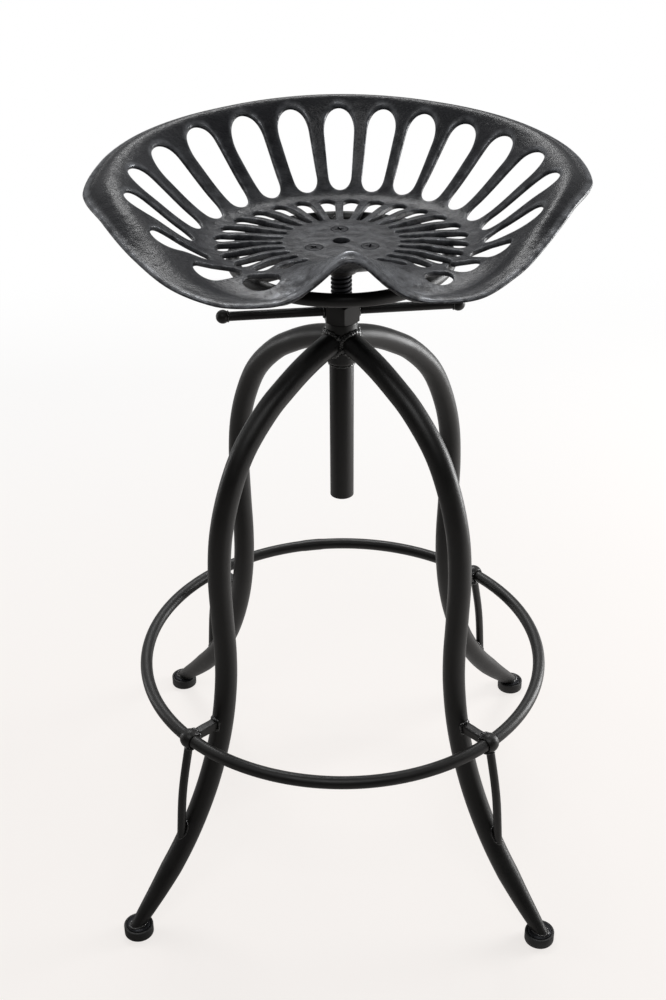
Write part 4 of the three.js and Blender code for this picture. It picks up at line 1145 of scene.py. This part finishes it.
# Each slot: near middle, far middle, near half width, far half width, how far its edge is rounded
slots = []
half = math.sin(math.radians(INNER_STEP / 2))
for i in range(INNER_SLOTS):
    turn = INNER_MIDDLE + (i - (INNER_SLOTS - 1) / 2) * INNER_STEP
    end = float(seat_share("inner", np.array([turn]))[0]) * SEAT_HALF_WIDTH
    start_half = (INNER_START * half - INNER_RIB / 2) / (1 - half)
    end_half = (end * half - INNER_RIB / 2) / (1 + half)
    near = from_back(INNER_START + start_half, turn)
    along = (near - INNER_FAN) / np.linalg.norm(near - INNER_FAN)
    inwards = near @ along
    reach = math.sqrt(inwards ** 2 + (end - end_half) ** 2 - near @ near) - inwards
    slots.append((near, near + reach * along, start_half, end_half, INNER_ROUNDING))
for turn, far_turn, *shares in zip(*BOWL_SLOTS.values()):
    begin, end, start_half, end_half = (share * SEAT_HALF_WIDTH for share in shares)
    near, far = from_back(begin + start_half, turn), from_back(end - end_half, far_turn)
    rounding = BOWL_ROUNDING if abs(turn) < FRONT_FROM else FRONT_ROUNDING
    slots.append((near, far, start_half, end_half, rounding))
SCREW_SEAT_RADIUS = 7.8
CENTRE_HOLE_RADIUS = 7.4
for turn in SCREW_TURNS:
    middle = from_back(SCREW_CIRCLE, turn)
    slots.append((middle, middle, SCREW_SEAT_RADIUS, SCREW_SEAT_RADIUS, SCREW_ROUNDING))
slots.append((np.zeros(2), np.zeros(2), CENTRE_HOLE_RADIUS, CENTRE_HOLE_RADIUS, SCREW_ROUNDING))


def outside_slot(x, y, slot):
    """How far a place is outside a slot that has round ends of two sizes."""
    near, far, start_half, end_half, _ = slot
    length = max(float(np.linalg.norm(far - near)), 1e-6)
    way = (far - near) / length if length > 1e-5 else np.array([0, 1])
    along = (x - near[0]) * way[0] + (y - near[1]) * way[1]
    across = np.abs((x - near[0]) * way[1] - (y - near[1]) * way[0])
    taper = max(-1, min(1, (start_half - end_half) / length))
    side = math.sqrt(1 - taper * taper)
    passed = across * -taper + along * side
    return np.where(
        passed < 0, np.hypot(across, along) - start_half,
        np.where(passed > side * length, np.hypot(across, along - length) - end_half,
                 across * side + along * taper - start_half))


RIM_ROUNDING = 3.2
RIM_BULGE = 2.2


def beyond_face(x, y):
    """How far a place is outside the upper face, which ends short of each edge by its rounding.
    The rounding of the nearest slot is given too, or none at the seat's outer edge."""
    radius = np.hypot(x, y)
    angle = np.degrees(np.arctan2(-x, y))
    edge = seat_edge(angle)
    slope = (seat_edge(angle + 0.5) - seat_edge(angle - 0.5)) / np.radians(1) / np.maximum(edge, 1)
    outer = (radius - edge) / np.sqrt(1 + slope ** 2)
    worst = outer + RIM_ROUNDING
    rounding = np.zeros(len(x))
    for slot in slots:
        inner = slot[-1] - outside_slot(x, y, slot)
        rounding = np.where(inner < worst, rounding, slot[-1])
        worst = np.maximum(worst, inner)
    return worst, rounding


def outward(x, y):
    """The way out of the face, level, at places near its edge."""
    step = 0.05
    slope_x = beyond_face(x + step, y)[0] - beyond_face(x - step, y)[0]
    slope_y = beyond_face(x, y + step)[0] - beyond_face(x, y - step)[0]
    size = np.maximum(np.hypot(slope_x, slope_y), 1e-9)
    return slope_x / size, slope_y / size


def draw_to_edge(x, y, picked, rounds):
    """Moves the picked nodes on to the face's edge."""
    for _ in range(rounds):
        gap = beyond_face(x[picked], y[picked])[0]
        out_x, out_y = outward(x[picked], y[picked])
        x[picked] -= gap * out_x
        y[picked] -= gap * out_y


CELL = 1.8
DRAWN_SHARE = 0.55
SLIVER_SHARE = 0.3
OUTSIDE_BY = 0.02
RELAX_ROUNDS = 6
half_cells = math.ceil(SEAT_HALF_WIDTH * 1.02 / CELL)
seat = start("seat", bpy.ops.mesh.primitive_grid_add,
             x_subdivisions=2 * half_cells, y_subdivisions=2 * half_cells, size=2 * half_cells * CELL)
grid = np.zeros(len(seat.data.vertices) * 3)
seat.data.vertices.foreach_get("co", grid)
x, y = grid.reshape(-1, 3)[:, 0].copy(), grid.reshape(-1, 3)[:, 1].copy()
corners = np.zeros(len(seat.data.polygons) * 4, int)
seat.data.polygons.foreach_get("vertices", corners)
corners = corners.reshape(-1, 4)

# The grid's nodes near an edge are drawn on to it, and the cells outside are dropped
draw_to_edge(x, y, np.abs(beyond_face(x, y)[0]) < DRAWN_SHARE * CELL, 4)
gap = beyond_face(x, y)[0]
outside = gap > OUTSIDE_BY
kept = ~outside[corners].any(1)
faces = [tuple(c) for c in corners[kept]]
cornered = corners[outside[corners].sum(1) == 1]
for face in cornered:
    trio = tuple(int(c) for c in face if not outside[c])
    if np.ptp(gap[list(trio)]) > SLIVER_SHARE * CELL:
        faces.append(trio)


def by_edge(faces):
    """The ways in which the faces run along each edge."""
    runs = {}
    for f in faces:
        for a, b in zip(f, f[1:] + f[:1]):
            runs.setdefault((min(a, b), max(a, b)), []).append((a, b))
    return runs


# Cells that hang on to the others by a corner alone are dropped too
alone = {ways[0] for ways in by_edge(faces).values() if len(ways) == 1}
faces = [f for f in faces if not all(way in alone for way in zip(f, f[1:] + f[:1]))]
used = np.unique(np.concatenate([np.asarray(f) for f in faces]))
renumber = -np.ones(len(x), int)
renumber[used] = np.arange(len(used))
x, y = x[used], y[used]
faces = [tuple(int(renumber[c]) for c in f) for f in faces]

# Edges used once are the face's border; the rest of the net is relaxed between them
seen_edges = by_edge(faces)
border_edges = [ways[0] for ways in seen_edges.values() if len(ways) == 1]
pairs = np.array(list(seen_edges))
border_pairs = np.array(border_edges)
on_border = np.zeros(len(x), bool)
on_border[border_pairs.ravel()] = True


def relaxed(values, links, count):
    """The mean of each node's neighbours."""
    total = np.zeros(count)
    number = np.zeros(count)
    for a, b in ((0, 1), (1, 0)):
        np.add.at(total, links[:, a], values[links[:, b]])
        np.add.at(number, links[:, a], 1)
    return total / np.maximum(number, 1)


for _ in range(RELAX_ROUNDS):
    next_x, next_y = relaxed(x, pairs, len(x)), relaxed(y, pairs, len(x))
    edge_x, edge_y = relaxed(x, border_pairs, len(x)), relaxed(y, border_pairs, len(x))
    x = np.where(on_border, 0.5 * (x + edge_x), 0.5 * (x + next_x))
    y = np.where(on_border, 0.5 * (y + edge_y), 0.5 * (y + next_y))
    draw_to_edge(x, y, on_border, 2)

# Rows round each edge: from the upper face over the rounded corner, down the wall and under
count = len(x)
border = np.flatnonzero(on_border)
row_of = -np.ones(count, int)
row_of[border] = np.arange(len(border))
bx, by = x[border], y[border]
out_x, out_y = outward(bx, by)
rounding = beyond_face(bx, by)[1]
is_rim = rounding == 0
reach = np.where(is_rim, RIM_ROUNDING + RIM_BULGE, rounding)
wall_x, wall_y = bx + reach * out_x, by + reach * out_y
high_face, low_face = seat_top(bx, by), seat_under(bx, by)
high_wall, low_wall = seat_top(wall_x, wall_y), seat_under(wall_x, wall_y)
high_wall = np.where(is_rim, high_face, high_wall)
low_wall = np.where(is_rim, low_face, low_wall)
drop = np.minimum(1.1 * rounding, 0.4 * (high_wall - low_wall))
drop = np.where(is_rim, 0.5 * (high_face - low_face), drop)
rows = []
for face, wall, way in ((high_face, high_wall, -1), (low_face, low_wall, 1)):
    for t in (0.35, 0.7, 1)[::-way]:
        share = 2 * t - t * t
        height = (1 - t) ** 2 * face + 2 * t * (1 - t) * wall + t * t * (wall + way * drop)
        rows.append((bx + share * reach * out_x, by + share * reach * out_y, height))
points = [np.stack(row, 1) for row in [(x, y, seat_top(x, y)), *rows, (x, y, seat_under(x, y))]]
starts = [0] + [count + i * len(border) for i in range(len(rows) + 1)]
all_faces = list(faces) + [tuple(c + starts[-1] for c in reversed(f)) for f in faces]
chain = [border, *(begin + np.arange(len(border)) for begin in starts[1:-1]), border + starts[-1]]
for a, b in border_edges:
    a, b = row_of[a], row_of[b]
    for upper, lower in zip(chain, chain[1:]):
        all_faces.append((int(upper[b]), int(upper[a]), int(lower[a]), int(lower[b])))
mesh = bpy.data.meshes.new("seat")
mesh.from_pydata((np.concatenate(points) * MM).tolist(), [], all_faces)
blank_sheet = seat.data
seat.data = mesh
bpy.data.meshes.remove(blank_sheet)

# Rubbed places: slots' edges, the hub disc and a little of the wall, and the pommel, whose lighter
# grey is partly rubbed paint and partly a painted highlight
POMMEL_WEAR_AND_HIGHLIGHT = 1.8
POMMEL_WEAR_AND_HIGHLIGHT_FROM = -70
DISC_WEAR = 0.4
DISC_WEAR_FADE = 4
WALL_WEAR = 0.22
WEAR_FADE = 40
EDGE_WEAR = (0.8, 1, 0.5)
FACE_EDGE_WEAR = 0.3
wear_and_highlight = np.zeros(sum(len(p) for p in points))
for i, amount in enumerate(EDGE_WEAR):
    wear_and_highlight[starts[i + 1]:starts[i + 1] + len(border)] = amount
slot_radius = seat_share("slot", np.degrees(np.arctan2(-x, y))) * SEAT_HALF_WIDTH
radius = np.hypot(x, y)
# The pommel's mask: rubbed paint, and a painted highlight on its crest as well
pommel_rub_and_highlight = np.clip((POMMEL_WEAR_AND_HIGHLIGHT_FROM - y) / WEAR_FADE, 0, 1) * np.exp(-(x / POMMEL_WIDTHS[0]) ** 2)
disc_rub = DISC_WEAR * np.clip((HUB_DISC_RADIUS - radius) / DISC_WEAR_FADE, 0, 1)
wall_rub = WALL_WEAR * np.clip((slot_radius - radius) / WEAR_FADE, 0, 1)
wear_and_highlight[:count] = np.maximum(np.maximum(POMMEL_WEAR_AND_HIGHLIGHT * pommel_rub_and_highlight, disc_rub), wall_rub)
wear_and_highlight[border] = np.maximum(wear_and_highlight[border], FACE_EDGE_WEAR)
# The mask of rubbed paint and of the pommel's painted highlight, which the seat's material reads
worn = mesh.attributes.new("worn", "FLOAT", "POINT")
worn.data.foreach_set("value", wear_and_highlight)
close(seat, 180)

# Painted cast iron: satin grey-black over sand-cast skin. The grain and brushed scratches break the
# light up, and rubbed edges show a thin grey line. On the pommel the same grey is also a painted
# highlight
seat_iron, tree, place = new_material("painted_cast_iron")
CAST_BLOTCH = 25
CAST_WAVE = 9.09091
CAST_GRAIN = 1.1
BRUSH_MARK = (8.33333, 0.384615, 1.66667)
blotch = add_node(tree, "TexNoise", {
    "Vector": place, "Scale": scale_of(CAST_BLOTCH), "Detail": 5, "Roughness": 0.6})
grain = add_node(tree, "TexNoise", {"Vector": place, "Scale": scale_of(CAST_GRAIN), "Detail": 3})
wave = add_node(tree, "TexNoise", {"Vector": place, "Scale": scale_of(CAST_WAVE), "Detail": 2})
lengthwise = add_node(tree, "Mapping", {"Vector": place, "Scale": [scale_of(width) for width in BRUSH_MARK]})
brush = add_node(tree, "TexNoise", {"Vector": lengthwise, "Scale": 1, "Detail": 3})
worn = add_node(tree, "Attribute", attribute_name="worn")
paint = add_node(tree, "Mix", {
    "Factor": blotch, "A": linear("131418"), "B": linear("202126")}, data_type="RGBA")
patchy_rub_and_highlight = add_node(tree, "MapRange", {
    "Value": wave, "From Min": 0.35, "From Max": 0.65, "To Min": 0.15, "To Max": 0.8})
wear_and_highlight_mask = add_node(tree, "Math", {0: worn.outputs["Fac"], 1: patchy_rub_and_highlight}, operation="MULTIPLY")
# The grey mixed in by the mask is rubbed paint, and on the pommel a painted highlight too
colour = add_node(tree, "Mix", {"Factor": wear_and_highlight_mask, "A": paint, "B": linear("8a8c90")}, data_type="RGBA")
bare = add_node(tree, "MapRange", {
    "Value": wear_and_highlight_mask, "From Min": 0.3, "From Max": 0.8, "To Min": 0, "To Max": 0.85})
rough = add_node(tree, "MapRange", {"Value": brush, **NOISE_SPAN, "To Min": 0.22, "To Max": 0.38})
waves = add_node(tree, "Bump", {"Height": wave, "Strength": 0.5, "Distance": 1.5 * MM})
streaks = add_node(tree, "Bump", {"Height": brush, "Strength": 0.35, "Distance": 0.3 * MM, "Normal": waves})
grains = add_node(tree, "Bump", {"Height": grain, "Strength": 0.5, "Distance": 0.4 * MM, "Normal": streaks})
shader = add_node(tree, "BsdfPrincipled", {
    "Base Color": colour, "Roughness": rough, "Metallic": bare, "Normal": grains,
    "Specular IOR Level": 0.3})
add_node(tree, "OutputMaterial", {"Surface": shader})
seat.data.materials.append(seat_iron)
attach(seat, "seat_unit")
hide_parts("seat_casting")

# Seat screws: three countersunk steel screws with a cross recess, level with the hub disc.
SCREW_HEAD = (7.5, 645)
SCREW_SHANK = (3.8, 634.3, 641)
CROSS_LENGTH = 8
CROSS_WIDTH = 1.6
CROSS_DEPTH = 2
CROSS_TURNS = (20, 110)
SCREW_RIM = 0.5
screw = upright_rod("pan_screw_1", *SCREW_SHANK, corners=48)
cone_top = SCREW_HEAD[1] - SCREW_RIM
cone_on(screw, cone_top - SCREW_SHANK[2], SCREW_HEAD[0] / SCREW_SHANK[0], cone_top)
cone_on(screw, SCREW_RIM, 1, SCREW_HEAD[1])
for turn in CROSS_TURNS:
    carve(screw, start("cross_bar", bpy.ops.mesh.primitive_cube_add, size=1,
                       location=(0, 0, SCREW_HEAD[1] * MM), rotation=(0, 0, math.radians(turn)),
                       scale=(CROSS_LENGTH * MM, CROSS_WIDTH * MM, 2 * CROSS_DEPTH * MM)))
round_edges(screw, 0.15, 30)
screw.data.transform(Matrix.Translation(polar(SCREW_CIRCLE, 90) * MM))
close(screw, 30)
screw.data.materials.append(blackened_steel)
for i, piece in enumerate(copy_round(screw, SCREW_TURNS[1:]), 1):
    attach(piece, "seat_unit")
    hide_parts(f"seat_screw_{i}")
